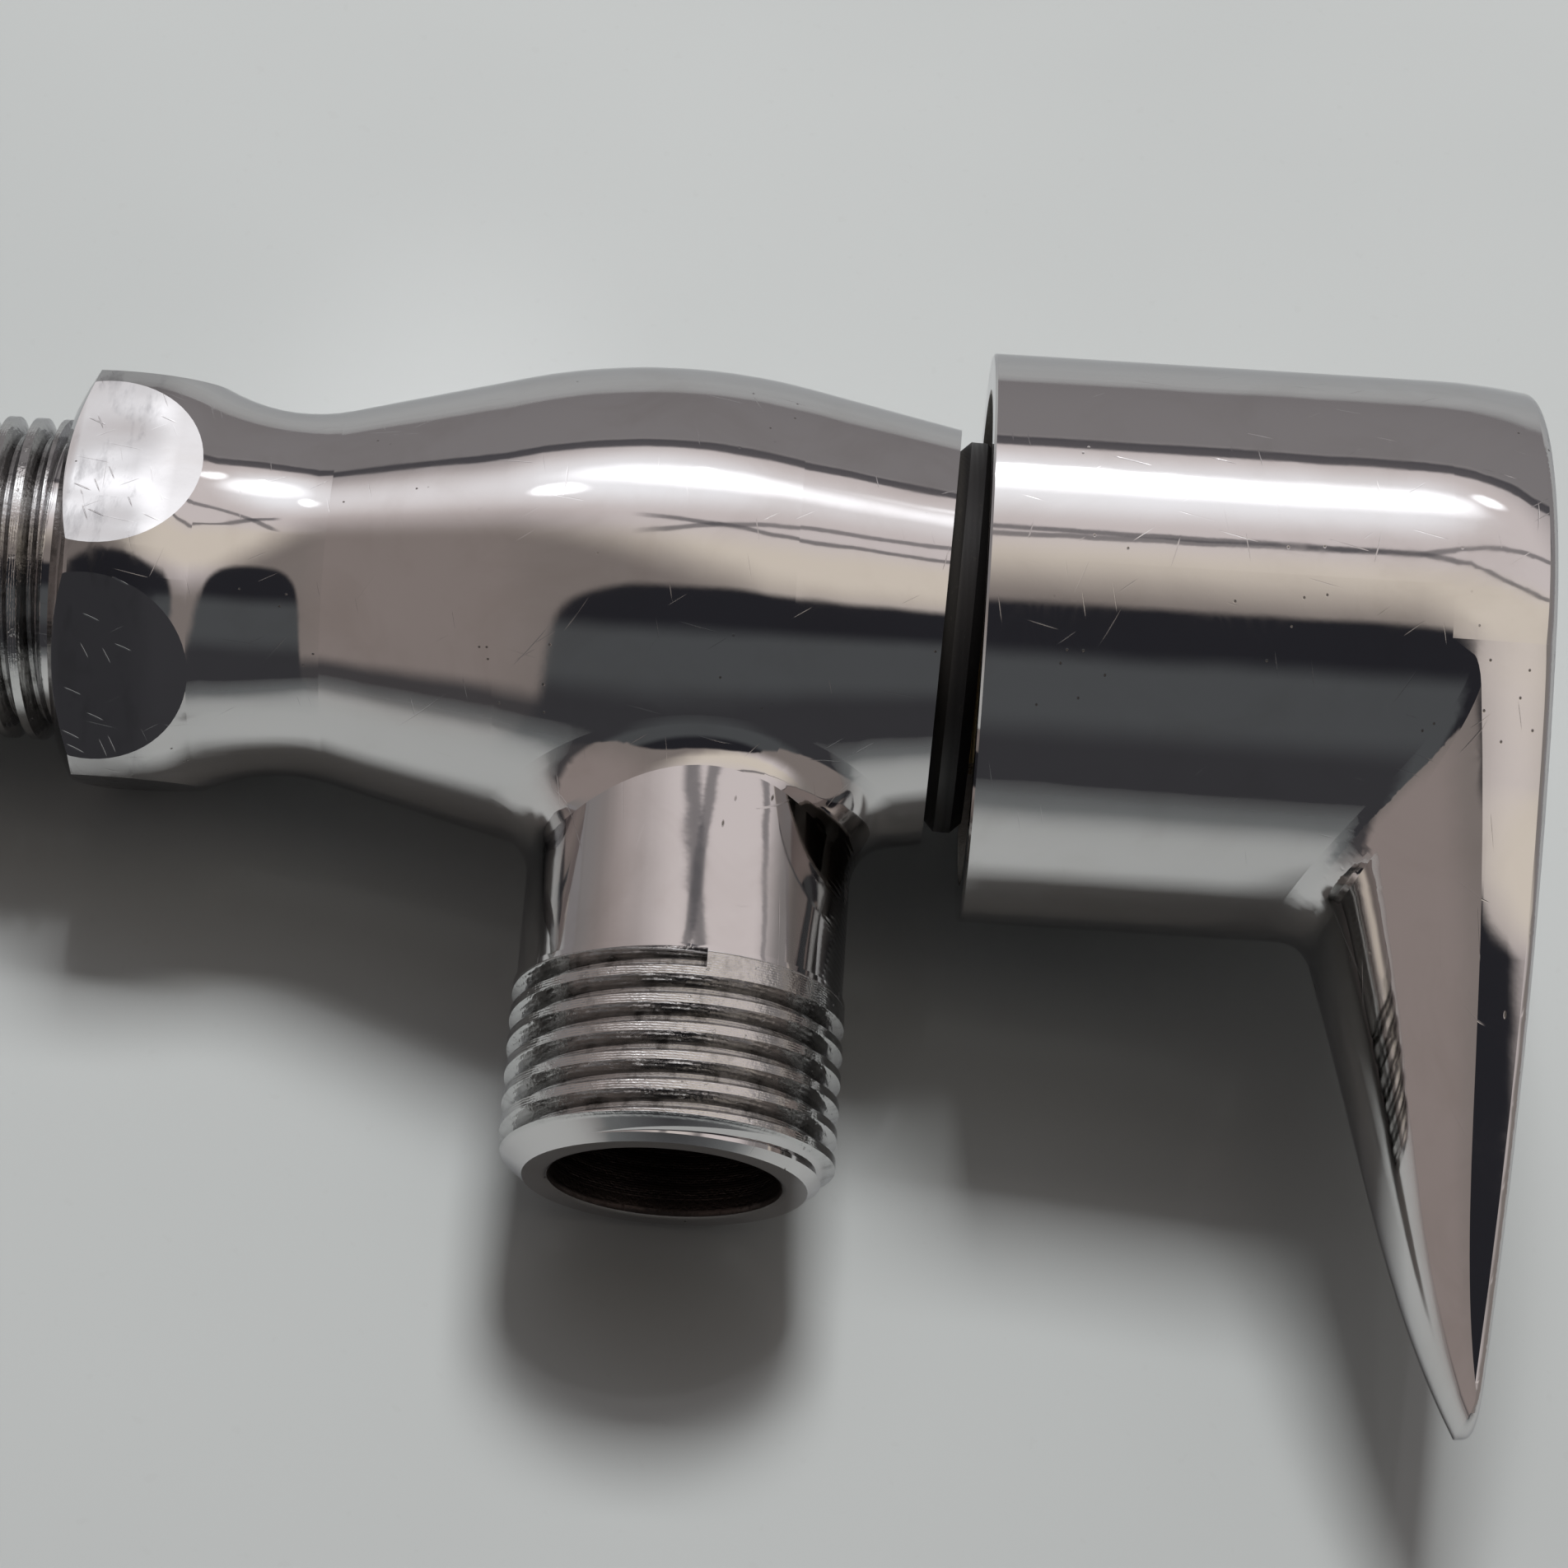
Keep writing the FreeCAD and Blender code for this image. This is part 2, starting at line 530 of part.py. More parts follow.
def valveBody():
    body = newBody("valve_body")
    sketch = newSketch(body, "XZ_Plane", "BodyProfile")
    tangentProfile(sketch)
    doc.recompute()
    outer = body.newObject("PartDesign::Revolution", "Outer")
    outer.Profile = sketch
    outer.ReferenceAxis = (origin(body, "X_Axis"), [""])
    outer.Angle = 360
    doc.recompute()

    # wrench flats: everything outside the hexagon goes, as far as the waist
    flats = newSketch(body, "YZ_Plane", "Flats", size("hex_x") - fixed(0.5))
    regular(flats, size("hex_flats"), 6, "hex_turn")
    circle(flats, size("hex_r") + fixed(3))
    doc.recompute()
    pocket(body, flats, size("hex_peak_x") - size("hex_x") + size("hex_arc") * 0.75, True)

    # the flats' corners are turned off at the left face
    face = size("hex_flats") / 2 - size("hex_chamfer")
    domeCut(body, size("hex_x"), face, size("hex_r") + fixed(1), size("hex_dome_r"))

    # outlet neck with its collar and the blank of its thread
    neck = size("neck_r")
    collarEnd = size("collar_z") - size("collar_len")
    revolve(body, [(fixed(0), fixed(0)), (neck, fixed(0)), (neck, size("collar_z")),
                   (size("collar_r"), size("collar_z")), (size("collar_r"), collarEnd),
                   (size("thread_r"), collarEnd), (size("thread_r"), size("outlet_z") + size("end_chamfer")),
                   (size("thread_r") - size("end_chamfer") * 1.15, size("outlet_z")), (fixed(0), size("outlet_z"))],
            axis="Z_Axis")
    fillet(body, size("neck_fillet"), lambda box: box.ZMax < -neck.value
           and box.ZMin > size("collar_z").value + 1 and box.XLength > neck.value)

    # inlet: undercut beside the hexagon, then the blank of its thread
    inletStart = size("hex_x") - size("undercut_w")
    revolve(body, [(size("hex_x") + fixed(1), fixed(0)), (size("hex_x") + fixed(1), size("undercut_r")),
                   (inletStart, size("undercut_r")), (inletStart, size("thread_r")),
                   (size("inlet_x") + size("end_chamfer"), size("thread_r")),
                   (size("inlet_x"), size("thread_r") - size("end_chamfer") * 1.15), (size("inlet_x"), fixed(0))])

    # water way, seat, chamber and the seats of the headwork
    counter = size("flange_r") + size("loose_fit")
    headHole = size("head_thread_r") + size("thread_fit")
    seatIn = size("seat_x") - size("seat_bore_len")
    out = fixed(1)
    revolve(body, [(size("inlet_x") - out, fixed(0)), (size("inlet_x") - out, size("bore_r")),
                   (seatIn, size("bore_r")), (seatIn, size("seat_bore_r")), (size("seat_x"), size("seat_bore_r")),
                   (size("seat_x"), size("chamber_r")), (size("chamber_x"), size("chamber_r")),
                   (size("chamber_x"), headHole), (sealFloor(), headHole), (sealFloor(), counter),
                   (size("body_x") + endRise() + out * 2, counter),
                   (size("body_x") + endRise() + out * 2, fixed(0))], cut=True)
    facing = newSketch(body, "XZ_Plane", "EndFacing")
    low, high = size("body_x"), size("body_x") + endRise()
    past = fixed(0.5)
    polygon(facing, [(low - endRise() * past, -size("end_r") * 2), (high + endRise() * past, size("end_r") * 2),
                     (high + fixed(8), size("end_r") * 2), (high + fixed(8), -size("end_r") * 2)])
    doc.recompute()
    pocket(body, facing)
    throat = newSketch(body, "XY_Plane", "OutletThroat", size("outlet_z"))
    circle(throat, size("throat_r"))
    doc.recompute()
    pocket(body, throat, -size("outlet_z"), True)
    mouth = newSketch(body, "XY_Plane", "OutletBore", size("outlet_z"))
    circle(mouth, size("bore_r"))
    doc.recompute()
    pocket(body, mouth, size("throat_z") - size("outlet_z"), True)

    mouthZ = size("outlet_z").value
    fillet(body, size("lip_fillet"), lambda box: abs(box.ZMin - mouthZ) < 0.01
           and abs(box.ZMax - mouthZ) < 0.01 and box.XLength < 2.2 * size("bore_r").value)

    pitch = size("thread_pitch")
    thread(body, "X_Axis", "XZ_Plane", size("inlet_x") - pitch / 2,
           inletStart - size("inlet_x") + pitch / 2, False)
    thread(body, "Z_Axis", "XZ_Plane", size("outlet_z") - pitch / 2,
           collarEnd - size("outlet_z") + pitch * 0.55, True)
    return body


# Headwork: the housing that screws into the body, and what turns in it.

def stack():
    """Stations along X of the pieces that are stacked on the seat."""
    fixedDisc = size("seat_x") + size("seal_len")
    movingDisc = fixedDisc + size("disc_len") + size("seal_fit")
    driver = movingDisc + size("disc_len")
    core = driver + size("driver_len")
    shoulder = core + size("core_len")
    slip = shoulder + size("collar_spindle_len")
    inner = slip + size("slip_len") + size("run_gap")
    return fixedDisc, movingDisc, driver, core, shoulder, slip, inner


def bonnet():
    body = newBody("bonnet")
    inner = stack()[6]
    end = size("seat_x") + size("skirt_gap")
    flangeIn = size("body_x") - size("flange_len")
    threadEnd = sealFloor() - size("run_gap") * 8
    ringNeck = size("flange_r") - size("housing_seal_r") * 2 - size("loose_fit") * 2
    wrench = size("wrench_flats") / (2 * math.cos(math.pi / 6))
    wrenchEnd = size("body_x") + size("wrench_len")
    bearing = size("spindle_r") + size("slide_fit")
    threadStart = size("chamber_x") + fixed(0.4)
    revolve(body, [(end, size("cage_r")), (end, size("skirt_r")), (threadStart, size("skirt_r")),
                   (threadStart + fixed(0.8), size("head_thread_r")), (threadEnd, size("head_thread_r")),
                   (threadEnd, ringNeck), (flangeIn, ringNeck), (flangeIn, size("flange_r")),
                   (size("body_x"), size("flange_r")), (size("body_x"), wrench), (wrenchEnd - fixed(0.8), wrench),
                   (wrenchEnd, wrench - fixed(1.0)), (wrenchEnd, size("tube_r")), (size("tube_x"), size("tube_r")),
                   (size("tube_x"), bearing), (inner, bearing), (inner, size("cage_r"))])

    flats = newSketch(body, "YZ_Plane", "WrenchFlats", size("body_x") + fixed(0.3))
    regular(flats, size("wrench_flats"), 6, "hex_turn")
    circle(flats, size("flange_r") + fixed(3))
    doc.recompute()
    pocket(body, flats, size("wrench_len") + fixed(1), True)

    # two windows for the water and two slots for the lugs of the fixed disc
    fixedDisc, movingDisc, driver = stack()[:3]
    windowX = driver + fixed(0.2)
    windows = newSketch(body, "XZ_Plane", "Windows")
    half = size("window_w") / 2
    polygon(windows, [(windowX, -half), (windowX, half), (windowX + size("window_len"), half),
                      (windowX + size("window_len"), -half)])
    doc.recompute()
    pocket(body, windows)
    slots = newSketch(body, "XZ_Plane", "LugSlots")
    half = size("lug_w") / 2 + size("loose_fit") / 2
    slotEnd = fixedDisc + size("disc_len") + size("seal_fit")
    polygon(slots, [(end - fixed(1), -half), (end - fixed(1), half), (slotEnd, half), (slotEnd, -half)])
    doc.recompute()
    pocket(body, slots)
    return body


def ceramicDisc(label, start, middle, lugs):
    """A lapped disc with two ports; the fixed one has two lugs that stop it turning."""
    body = newBody(label)
    sketch = newSketch(body, "YZ_Plane", "Face", start)
    circle(sketch, size("disc_r"))
    for turn in (0, 180):
        sector(sketch, size("port_in_r"), size("port_out_r"), size("port_half"), middle + turn)
    doc.recompute()
    pad(body, sketch, size("disc_len"))
    if lugs:
        reach = size("skirt_r") - size("loose_fit")
        for side in (1, -1):
            lug = newSketch(body, "YZ_Plane", "Lug", start)
            half = size("lug_w") / 2
            root = size("disc_r") - fixed(0.6)
            polygon(lug, [(root * side, -half), (reach * side, -half), (reach * side, half), (root * side, half)])
            doc.recompute()
            pad(body, lug, size("disc_len"))
    return body


def movingDisc():
    """The upper disc, with two notches in its back for the driver's pegs."""
    start = stack()[1]
    body = ceramicDisc("moving_disc", start, 90, False)
    for side in (1, -1):
        notch = newSketch(body, "YZ_Plane", "Notch", start + size("disc_len"))
        half = size("tongue_w") / 2
        root = size("port_out_r") - fixed(1.6)
        edge = size("disc_r") + fixed(1)
        polygon(notch, [(root * side, -half), (edge * side, -half), (edge * side, half), (root * side, half)])
        doc.recompute()
        pocket(body, notch, size("tongue_len"))
    return body


def driverPlate():
    """Carries the spindle's turn to the moving disc: a bow tie with two pegs and a slot."""
    start = stack()[2]
    body = newBody("driver")
    sketch = newSketch(body, "YZ_Plane", "Hub", start)
    circle(sketch, size("core_r") + fixed(0.6))
    doc.recompute()
    pad(body, sketch, size("driver_len"))
    reach = size("disc_r") - fixed(0.35)
    half = size("tongue_w") / 2 - size("loose_fit") / 2
    arm = newSketch(body, "YZ_Plane", "Arms", start)
    polygon(arm, [(-reach, -half), (reach, -half), (reach, half), (-reach, half)])
    doc.recompute()
    pad(body, arm, size("driver_len"))
    for side in (1, -1):
        peg = newSketch(body, "YZ_Plane", "Peg", start)
        root = size("port_out_r") - fixed(1.6) + size("loose_fit") / 2
        edge = reach
        polygon(peg, [(root * side, -half), (edge * side, -half), (edge * side, half), (root * side, half)])
        doc.recompute()
        pad(body, peg, size("tongue_len") - size("loose_fit") / 2, True)
    slot = newSketch(body, "YZ_Plane", "Slot", start + size("driver_len"))
    wide = size("tongue_w") / 2 * 0.6
    tall = size("core_r") - fixed(0.2)
    polygon(slot, [(-tall, -wide), (tall, -wide), (tall, wide), (-tall, wide)])
    doc.recompute()
    pocket(body, slot, size("tongue_len"))
    return body


def spindle():
    body = newBody("spindle")
    core, shoulder, slip = stack()[3:6]
    clip = size("tube_x") + size("slip_len") + size("run_gap")
    clipEnd = clip + size("clip_len") + size("loose_fit")
    grooveHalf = fixed(1.0)
    bearing, groove = size("spindle_r"), size("ring_groove_r")
    points = [(core, fixed(0)), (core, size("core_r")), (shoulder, size("core_r")),
              (shoulder, size("collar_spindle_r")), (slip, size("collar_spindle_r")), (slip, bearing)]
    for ring in ("ring_a_x", "ring_b_x"):
        points += [(size(ring) - grooveHalf, bearing), (size(ring) - grooveHalf, groove),
                   (size(ring) + grooveHalf, groove), (size(ring) + grooveHalf, bearing)]
    points += [(clip, bearing), (clip, size("clip_groove_r")), (clipEnd, size("clip_groove_r")),
               (clipEnd, size("spline_r")), (size("spindle_x") - fixed(0.6), size("spline_r")),
               (size("spindle_x"), size("spline_r") - fixed(0.6)), (size("spindle_x"), fixed(0))]
    revolve(body, points)

    tongue = newSketch(body, "YZ_Plane", "Tongue", core)
    wide = size("tongue_w") / 2 * 0.6 - size("loose_fit") / 2
    tall = size("core_r") - fixed(0.2) - size("loose_fit") / 2
    polygon(tongue, [(-tall, -wide), (tall, -wide), (tall, wide), (-tall, wide)])
    doc.recompute()
    pad(body, tongue, size("tongue_len") - size("loose_fit") / 2, True)

    # tapped hole for the handle screw
    hole = newSketch(body, "YZ_Plane", "TappedHole", size("spindle_x"))
    circle(hole, size("screw_r") + size("thread_fit"))
    doc.recompute()
    pocket(body, hole, size("tapped_len"))

    # spline: one groove, repeated round the end
    groovePlan = newSketch(body, "YZ_Plane", "SplineGroove", size("spindle_x") + fixed(0.5))
    half = size("spline_w") / 2
    bottom = size("spline_r") - size("spline_depth")
    top = size("spline_r") + fixed(0.2)
    polygon(groovePlan, [(-half, top), (-half * 0.3, bottom), (half * 0.3, bottom), (half, top)])
    doc.recompute()
    cut = pocket(body, groovePlan, size("spindle_x") - size("spline_x") + fixed(0.5))
    pattern(body, cut, "X_Axis", size("spline_teeth"))
    return body


def splineBush():
    """Insert with inner teeth that match the spindle, keyed into the handle's boss."""
    body = newBody("spline_bush")
    start = size("boss_x") + fixed(0.3)
    sketch = newSketch(body, "YZ_Plane", "Bush", start)
    circle(sketch, size("bush_r"))
    circle(sketch, size("spline_r") + size("slide_fit"))
    doc.recompute()
    pad(body, sketch, size("bush_len"))
    key = newSketch(body, "YZ_Plane", "Key", start)
    half = size("key_w") / 2
    polygon(key, [(-half, size("bush_r") - fixed(0.4)), (-half, size("bush_r") + size("key_up")),
                  (half, size("bush_r") + size("key_up")), (half, size("bush_r") - fixed(0.4))])
    doc.recompute()
    pad(body, key, size("bush_len"))
    toothStart = size("spline_x") + size("loose_fit")
    tooth = newSketch(body, "YZ_Plane", "Tooth", toothStart)
    play = size("slide_fit")
    wide = size("spline_w") / 2 - play
    crest = size("spline_r") - size("spline_depth") + play
    root = size("spline_r") + play + fixed(0.15)
    polygon(tooth, [(-wide, root), (-wide * 0.3, crest), (wide * 0.3, crest), (wide, root)])
    doc.recompute()
    one = pad(body, tooth, size("spindle_x") - toothStart)
    pattern(body, one, "X_Axis", size("spline_teeth"))
    return body


def ringSeal(label, section, inner):
    """An O-ring about X, centred on x = 0."""
    torus = doc.addObject("Part::Torus", label)
    torus.Label = label
    bind(torus, "Radius1", inner + section)
    bind(torus, "Radius2", section)
    torus.Placement = Placement(Vector(), Rotation(Vector(0, 1, 0), 90))
    return torus


def ringHole():
    """Radius of the ring's hole: just clear of the corners of the headwork's hexagon."""
    return size("wrench_flats") / (2 * math.cos(math.pi / 6)) + size("loose_fit") * 3


def dustRing():
    """Loose plastic ring on the body's end; it leans and its upper edge enters the handle."""
    body = newBody("dust_ring")
    start, end = fixed(0), size("ring_len")
    soft = size("ring_round")
    hole = ringHole()
    rim = hole + size("ring_wide")
    revolve(body, [(start, hole), (start, rim - soft), (soft, rim), (end - soft, rim), (end, rim - soft), (end, hole)])
    body.Placement = Placement(Vector(), Rotation(Vector(0, 1, 0), size("end_lean").value))
    bind(body, "Placement.Rotation.Angle", size("end_lean"))
    return body


def leaningX():
    """Where the ring's centre lies when it rests flat on the body's leaning end face."""
    return size("body_x") + endRise() / 2


# Handle: barrel and lever in one casting.

def leverOutline():
    """Front view of the handle: the barrel's circle drawn out to the round tip."""
    body = newBody("LeverPrism")
    sketch = newSketch(body, "YZ_Plane", "Outline", size("handle_x") - fixed(1))
    big, small, tip = size("handle_r"), size("tip_r"), size("tip_z")
    alpha = math.asin((big.value - small.value) / -tip.value)
    normal = Vector(0, 0, 1)
    right = Vector(math.cos(alpha), -math.sin(alpha), 0)
    left = Vector(-math.cos(alpha), -math.sin(alpha), 0)
    centre = Vector(0, tip.value, 0)
    barrel = sketch.addGeometry(Part.ArcOfCircle(Part.Circle(Vector(), normal, big.value), -alpha, math.pi + alpha))
    leftLine = sketch.addGeometry(Part.LineSegment(left * big.value, centre + left * small.value))
    end = sketch.addGeometry(Part.ArcOfCircle(Part.Circle(centre, normal, small.value), math.pi + alpha, -alpha))
    rightLine = sketch.addGeometry(Part.LineSegment(centre + right * small.value, right * big.value))
    for first, firstEnd, second, secondEnd in ((barrel, 2, leftLine, 1), (leftLine, 2, end, 1),
                                               (end, 2, rightLine, 1), (rightLine, 2, barrel, 1)):
        sketch.addConstraint(Sketcher.Constraint("Tangent", first, firstEnd, second, secondEnd))
    sketch.addConstraint(Sketcher.Constraint("Coincident", barrel, 3, -1, 1))
    constrain(sketch, "Radius", big, barrel)
    constrain(sketch, "Radius", small, end)
    place(sketch, end, 3, (fixed(0), tip))
    doc.recompute()
    # straight as far as the taper, which draws in softly towards the front
    start = size("front_x") - size("taper_len")
    straight = pad(body, sketch, start - size("handle_x") + fixed(1))
    end = [i + 1 for i, face in enumerate(body.Shape.Faces) if face.BoundBox.XMin > start.value - 0.01]
    drawn = body.newObject("PartDesign::Pad", "Taper")
    drawn.Profile = (straight, ["Face%d" % end[0]])
    bind(drawn, "Length", size("taper_len") + fixed(2))
    drawn.TaperAngle = -size("taper_turn").value
    bind(drawn, "TaperAngle", -size("taper_turn"))
    doc.recompute()
    fillet(body, size("taper_round"), lambda box: abs(box.XMin - start.value) < 0.01
           and abs(box.XMax - start.value) < 0.01)
    return body


def leverCrown():
    """Solid whose rounded back limits the lever: a loft through D-shaped sections."""
    body = newBody("LeverCrown")
    sections = []
    for part in "abcdef":
        z, back, radius = (size("crown_%s_%s" % (part, key)) for key in ("z", "x", "r"))
        radius = radius * size("handle_r")
        x = back + radius
        sketch = newSketch(body, "XY_Plane", "Section", z)
        far = size("front_x") + fixed(20)
        base = Part.Circle(Vector(x.value, 0, 0), Vector(0, 0, 1), radius.value)
        arc = sketch.addGeometry(Part.ArcOfCircle(base, math.pi / 2, 3 * math.pi / 2))
        spots = [(x, -radius), (far, -radius), (far, radius), (x, radius)]
        lines = []
        for a, b in zip(spots, spots[1:]):
            line = Part.LineSegment(Vector(a[0].value, a[1].value, 0), Vector(b[0].value, b[1].value, 0))
            lines.append(sketch.addGeometry(line))
        for i in (0, 1):
            sketch.addConstraint(Sketcher.Constraint("Coincident", lines[i], 2, lines[i + 1], 1))
        sketch.addConstraint(Sketcher.Constraint("Coincident", arc, 2, lines[0], 1))
        sketch.addConstraint(Sketcher.Constraint("Coincident", lines[2], 2, arc, 1))
        place(sketch, arc, 3, (x, fixed(0)))
        for line, spot in ((lines[0], spots[0]), (lines[1], spots[1]), (lines[2], spots[2])):
            place(sketch, line, 1, spot)
        constrain(sketch, "DistanceX", x, -1, 1, lines[2], 2)
        sections.append(sketch)
    doc.recompute()
    loft = body.newObject("PartDesign::AdditiveLoft", "Loft")
    loft.Profile = sections[0]
    loft.Sections = sections[1:]
    doc.recompute()
    return body


def boolean(kind, label, base, tool):
    result = doc.addObject("Part::" + kind, label)
    result.Base = base
    result.Tool = tool
    result.Label = label
    doc.recompute()
    return result


def rounded(label, base, radiusOf):
    """Fillet every edge for which radiusOf gives a pair of end radii."""
    rows = []
    for i, edge in enumerate(base.Shape.Edges):
        pair = radiusOf(edge)
        if pair:
            rows.append((i + 1,) + pair)
    result = doc.addObject("Part::Fillet", label)
    result.Base = base
    result.Edges = rows
    doc.recompute()
    return result


def handle():
    barrel = newBody("Barrel")
    soft = size("rim_round")
    revolve(barrel, [(size("handle_x"), fixed(0)), (size("handle_x"), size("handle_r") - soft),
                     (size("handle_x") + soft, size("handle_r")), (size("front_x"), size("handle_r")),
                     (size("front_x"), fixed(0))])
    rough = boolean("Fuse", "RoughHandle", barrel, leverCrown())

    # fillet where the lever's back leaves the barrel
    radius = size("handle_r").value
    front = size("front_x").value

    def backCorner(edge):
        box = edge.BoundBox
        middle = edge.valueAt((edge.FirstParameter + edge.LastParameter) / 2)
        onBarrel = abs(math.hypot(middle.y, middle.z) - radius) < 0.02
        if onBarrel and box.XMin > size("handle_x").value + 5 and box.XMax < front - 3 and box.ZLength > 5:
            return size("back_round").value, size("back_round").value

    filled = rounded("BackFillet", rough, backCorner)
    trimmed = boolean("Common", "TrimmedHandle", filled, leverOutline())
    dome = doc.addObject("Part::Sphere", "FrontDome")
    dome.Placement = Placement(Vector(0, 0, 0), Rotation(Vector(0, 0, 1), 180))
    bind(dome, "Radius", size("front_dome_r"))
    bind(dome, "Placement.Base.x", size("front_x") - size("front_dome_r"))
    block = boolean("Common", "HandleBlock", trimmed, dome)
    block.Refine = True
    doc.recompute()

    # front rounding: generous round the barrel, finer towards the tip
    centre = Vector(front - size("front_dome_r").value, 0, 0)
    big, small = size("front_round").value, size("lever_round").value

    def fade(z):
        share = min(1.0, max(0.0, (z - size("tip_z").value) / (-6.0 - size("tip_z").value)))
        return small + (big - small) * share

    def frontEdge(edge):
        ends = [edge.valueAt(edge.FirstParameter), edge.valueAt(edge.LastParameter)]
        middle = edge.valueAt((edge.FirstParameter + edge.LastParameter) / 2)
        if all(abs((spot - centre).Length - size("front_dome_r").value) < 0.02 for spot in ends + [middle]):
            if edge.Orientation == "Reversed":
                ends.reverse()
            return fade(ends[0].z), fade(ends[1].z)

    smooth = rounded("FrontFillet", block, frontEdge)

    # hollow: ring round the boss, hole for the bush, web, screw pocket and seat of the cap
    hollow = newBody("HandleHollow")
    bush = size("bush_r") + size("loose_fit") / 2
    webStart = size("boss_x") + fixed(0.3) + size("bush_len") + size("run_gap") * 2
    webEnd = webStart + size("web_len")
    capSeat = size("front_x") - size("cap_len")
    out = fixed(1)
    revolve(hollow, [(size("handle_x") - out, fixed(0)), (size("handle_x") - out, size("cavity_r")),
                     (size("cavity_x"), size("cavity_r")), (size("cavity_x"), size("boss_r")),
                     (size("boss_x"), size("boss_r")), (size("boss_x"), bush), (webStart, bush),
                     (webStart, size("screw_r") + size("loose_fit") * 2),
                     (webEnd, size("screw_r") + size("loose_fit") * 2), (webEnd, size("pocket_r")),
                     (capSeat, size("pocket_r")), (capSeat, size("cap_r") + size("loose_fit")),
                     (size("front_x") + out, size("cap_r") + size("loose_fit")), (size("front_x") + out, fixed(0))])
    slot = newSketch(hollow, "YZ_Plane", "KeySlot", size("boss_x") - fixed(1))
    half = size("key_w") / 2 + size("loose_fit") / 2
    top = size("bush_r") + size("key_up") + size("loose_fit") / 2
    polygon(slot, [(-half, size("bush_r") - fixed(0.4)), (-half, top), (half, top),
                   (half, size("bush_r") - fixed(0.4))])
    doc.recompute()
    pad(hollow, slot, webStart - size("boss_x") + fixed(1))
    return boolean("Cut", "handle", smooth, hollow)


# Small parts round the spindle and the screw.

def circlip():
    """Snap ring with an opening between two eyes."""
    body = turned("circlip", ringPoints(size("tube_x") + size("slip_len") + size("run_gap"),
                                        size("tube_x") + size("slip_len") + size("run_gap") + size("clip_len"),
                                        size("clip_groove_r") + size("loose_fit") / 2, size("clip_r") - fixed(0.6)))
    start = size("tube_x") + size("slip_len") + size("run_gap")
    turn = math.radians(26)
    reach = size("clip_r") * 0.92
    for side in (1, -1):
        eye = newSketch(body, "YZ_Plane", "Eye", start)
        circle(eye, fixed(1.25), (reach * math.cos(turn), reach * (side * math.sin(turn))))
        doc.recompute()
        pad(body, eye, size("clip_len"))
    gap = newSketch(body, "YZ_Plane", "Opening", start)
    far = size("clip_r") + fixed(2)
    polygon(gap, [(fixed(0), fixed(0)), (far, -far * 0.24), (far, far * 0.24)])
    doc.recompute()
    pocket(body, gap, size("clip_len"), True)
    for side in (1, -1):
        hole = newSketch(body, "YZ_Plane", "EyeHole", start)
        circle(hole, fixed(0.55), (reach * math.cos(turn), reach * (side * math.sin(turn))))
        doc.recompute()
        pocket(body, hole, size("clip_len"), True)
    return body


def screwSeat():
    web = size("boss_x") + fixed(0.3) + size("bush_len") + size("run_gap") * 2 + size("web_len")
    return web, web + size("lock_len")


def handleScrew():
    seat = screwSeat()[1]
    end = seat - size("screw_len")
    top = seat + size("head_len")
    body = turned("handle_screw", [(end, fixed(0)), (end, size("screw_r") - fixed(0.5)),
                                   (end + fixed(0.5), size("screw_r")), (seat, size("screw_r")),
                                   (seat, size("head_r")), (seat + size("head_len") * 0.5, size("head_r")),
                                   (top - fixed(0.4), size("head_r") - fixed(0.9)),
                                   (top, size("head_r") - fixed(2.0)), (top, fixed(0))])
    for turned_ in (False, True):
        slot = newSketch(body, "YZ_Plane", "Cross", top)
        wide, tall = fixed(0.5), fixed(2.1)
        y, z = (tall, wide) if turned_ else (wide, tall)
        polygon(slot, [(-y, -z), (y, -z), (y, z), (-y, z)])
        doc.recompute()
        pocket(body, slot, size("head_len") * 0.55)
    return body


def lockWasher():
    web, seat = screwSeat()
    body = turned("lock_washer", ringPoints(web, seat, size("screw_r") + size("loose_fit") * 1.5, size("lock_r")))
    split = newSketch(body, "YZ_Plane", "Split", web)
    far = size("lock_r") + fixed(1)
    polygon(split, [(fixed(-0.2), fixed(0)), (fixed(0.5), fixed(0)), (fixed(1.3), far), (fixed(0.6), far)])
    doc.recompute()
    pocket(body, split, size("lock_len"), True)
    return body


def indexCap():
    seat = size("front_x") - size("cap_len")
    plug = size("pocket_r") - size("loose_fit") / 2
    top = size("front_x") + size("cap_up")
    body = turned("index_cap", [(seat - size("cap_plug_len"), plug - fixed(1.2)),
                                (seat - size("cap_plug_len"), plug - fixed(0.3)),
                                (seat - size("cap_plug_len") + fixed(0.5), plug), (seat, plug),
                                (seat, size("cap_r")), (top - fixed(0.2), size("cap_r")),
                                (top, size("cap_r") - fixed(2.5)), (top + fixed(0.1), fixed(0)),
                                (seat, fixed(0)), (seat, plug - fixed(1.2))])
    fillet(body, fixed(0.35), lambda box: abs(box.XMax - (top.value - 0.2)) < 0.01 and box.XLength < 0.01)
    return body


fixedDisc, movingDiscX, driverX, coreX, shoulderX, slipX, bearingX = stack()
ringSection = (size("spindle_r") + size("slide_fit") - size("seal_fit") - size("ring_groove_r")) / 2
flangeNeck = size("flange_r") - size("housing_seal_r") * 2 - size("loose_fit") * 2
flangeBack = size("body_x") - size("flange_len")

sealX = (sealFloor() + flangeBack) / 2
ringX = leaningX()

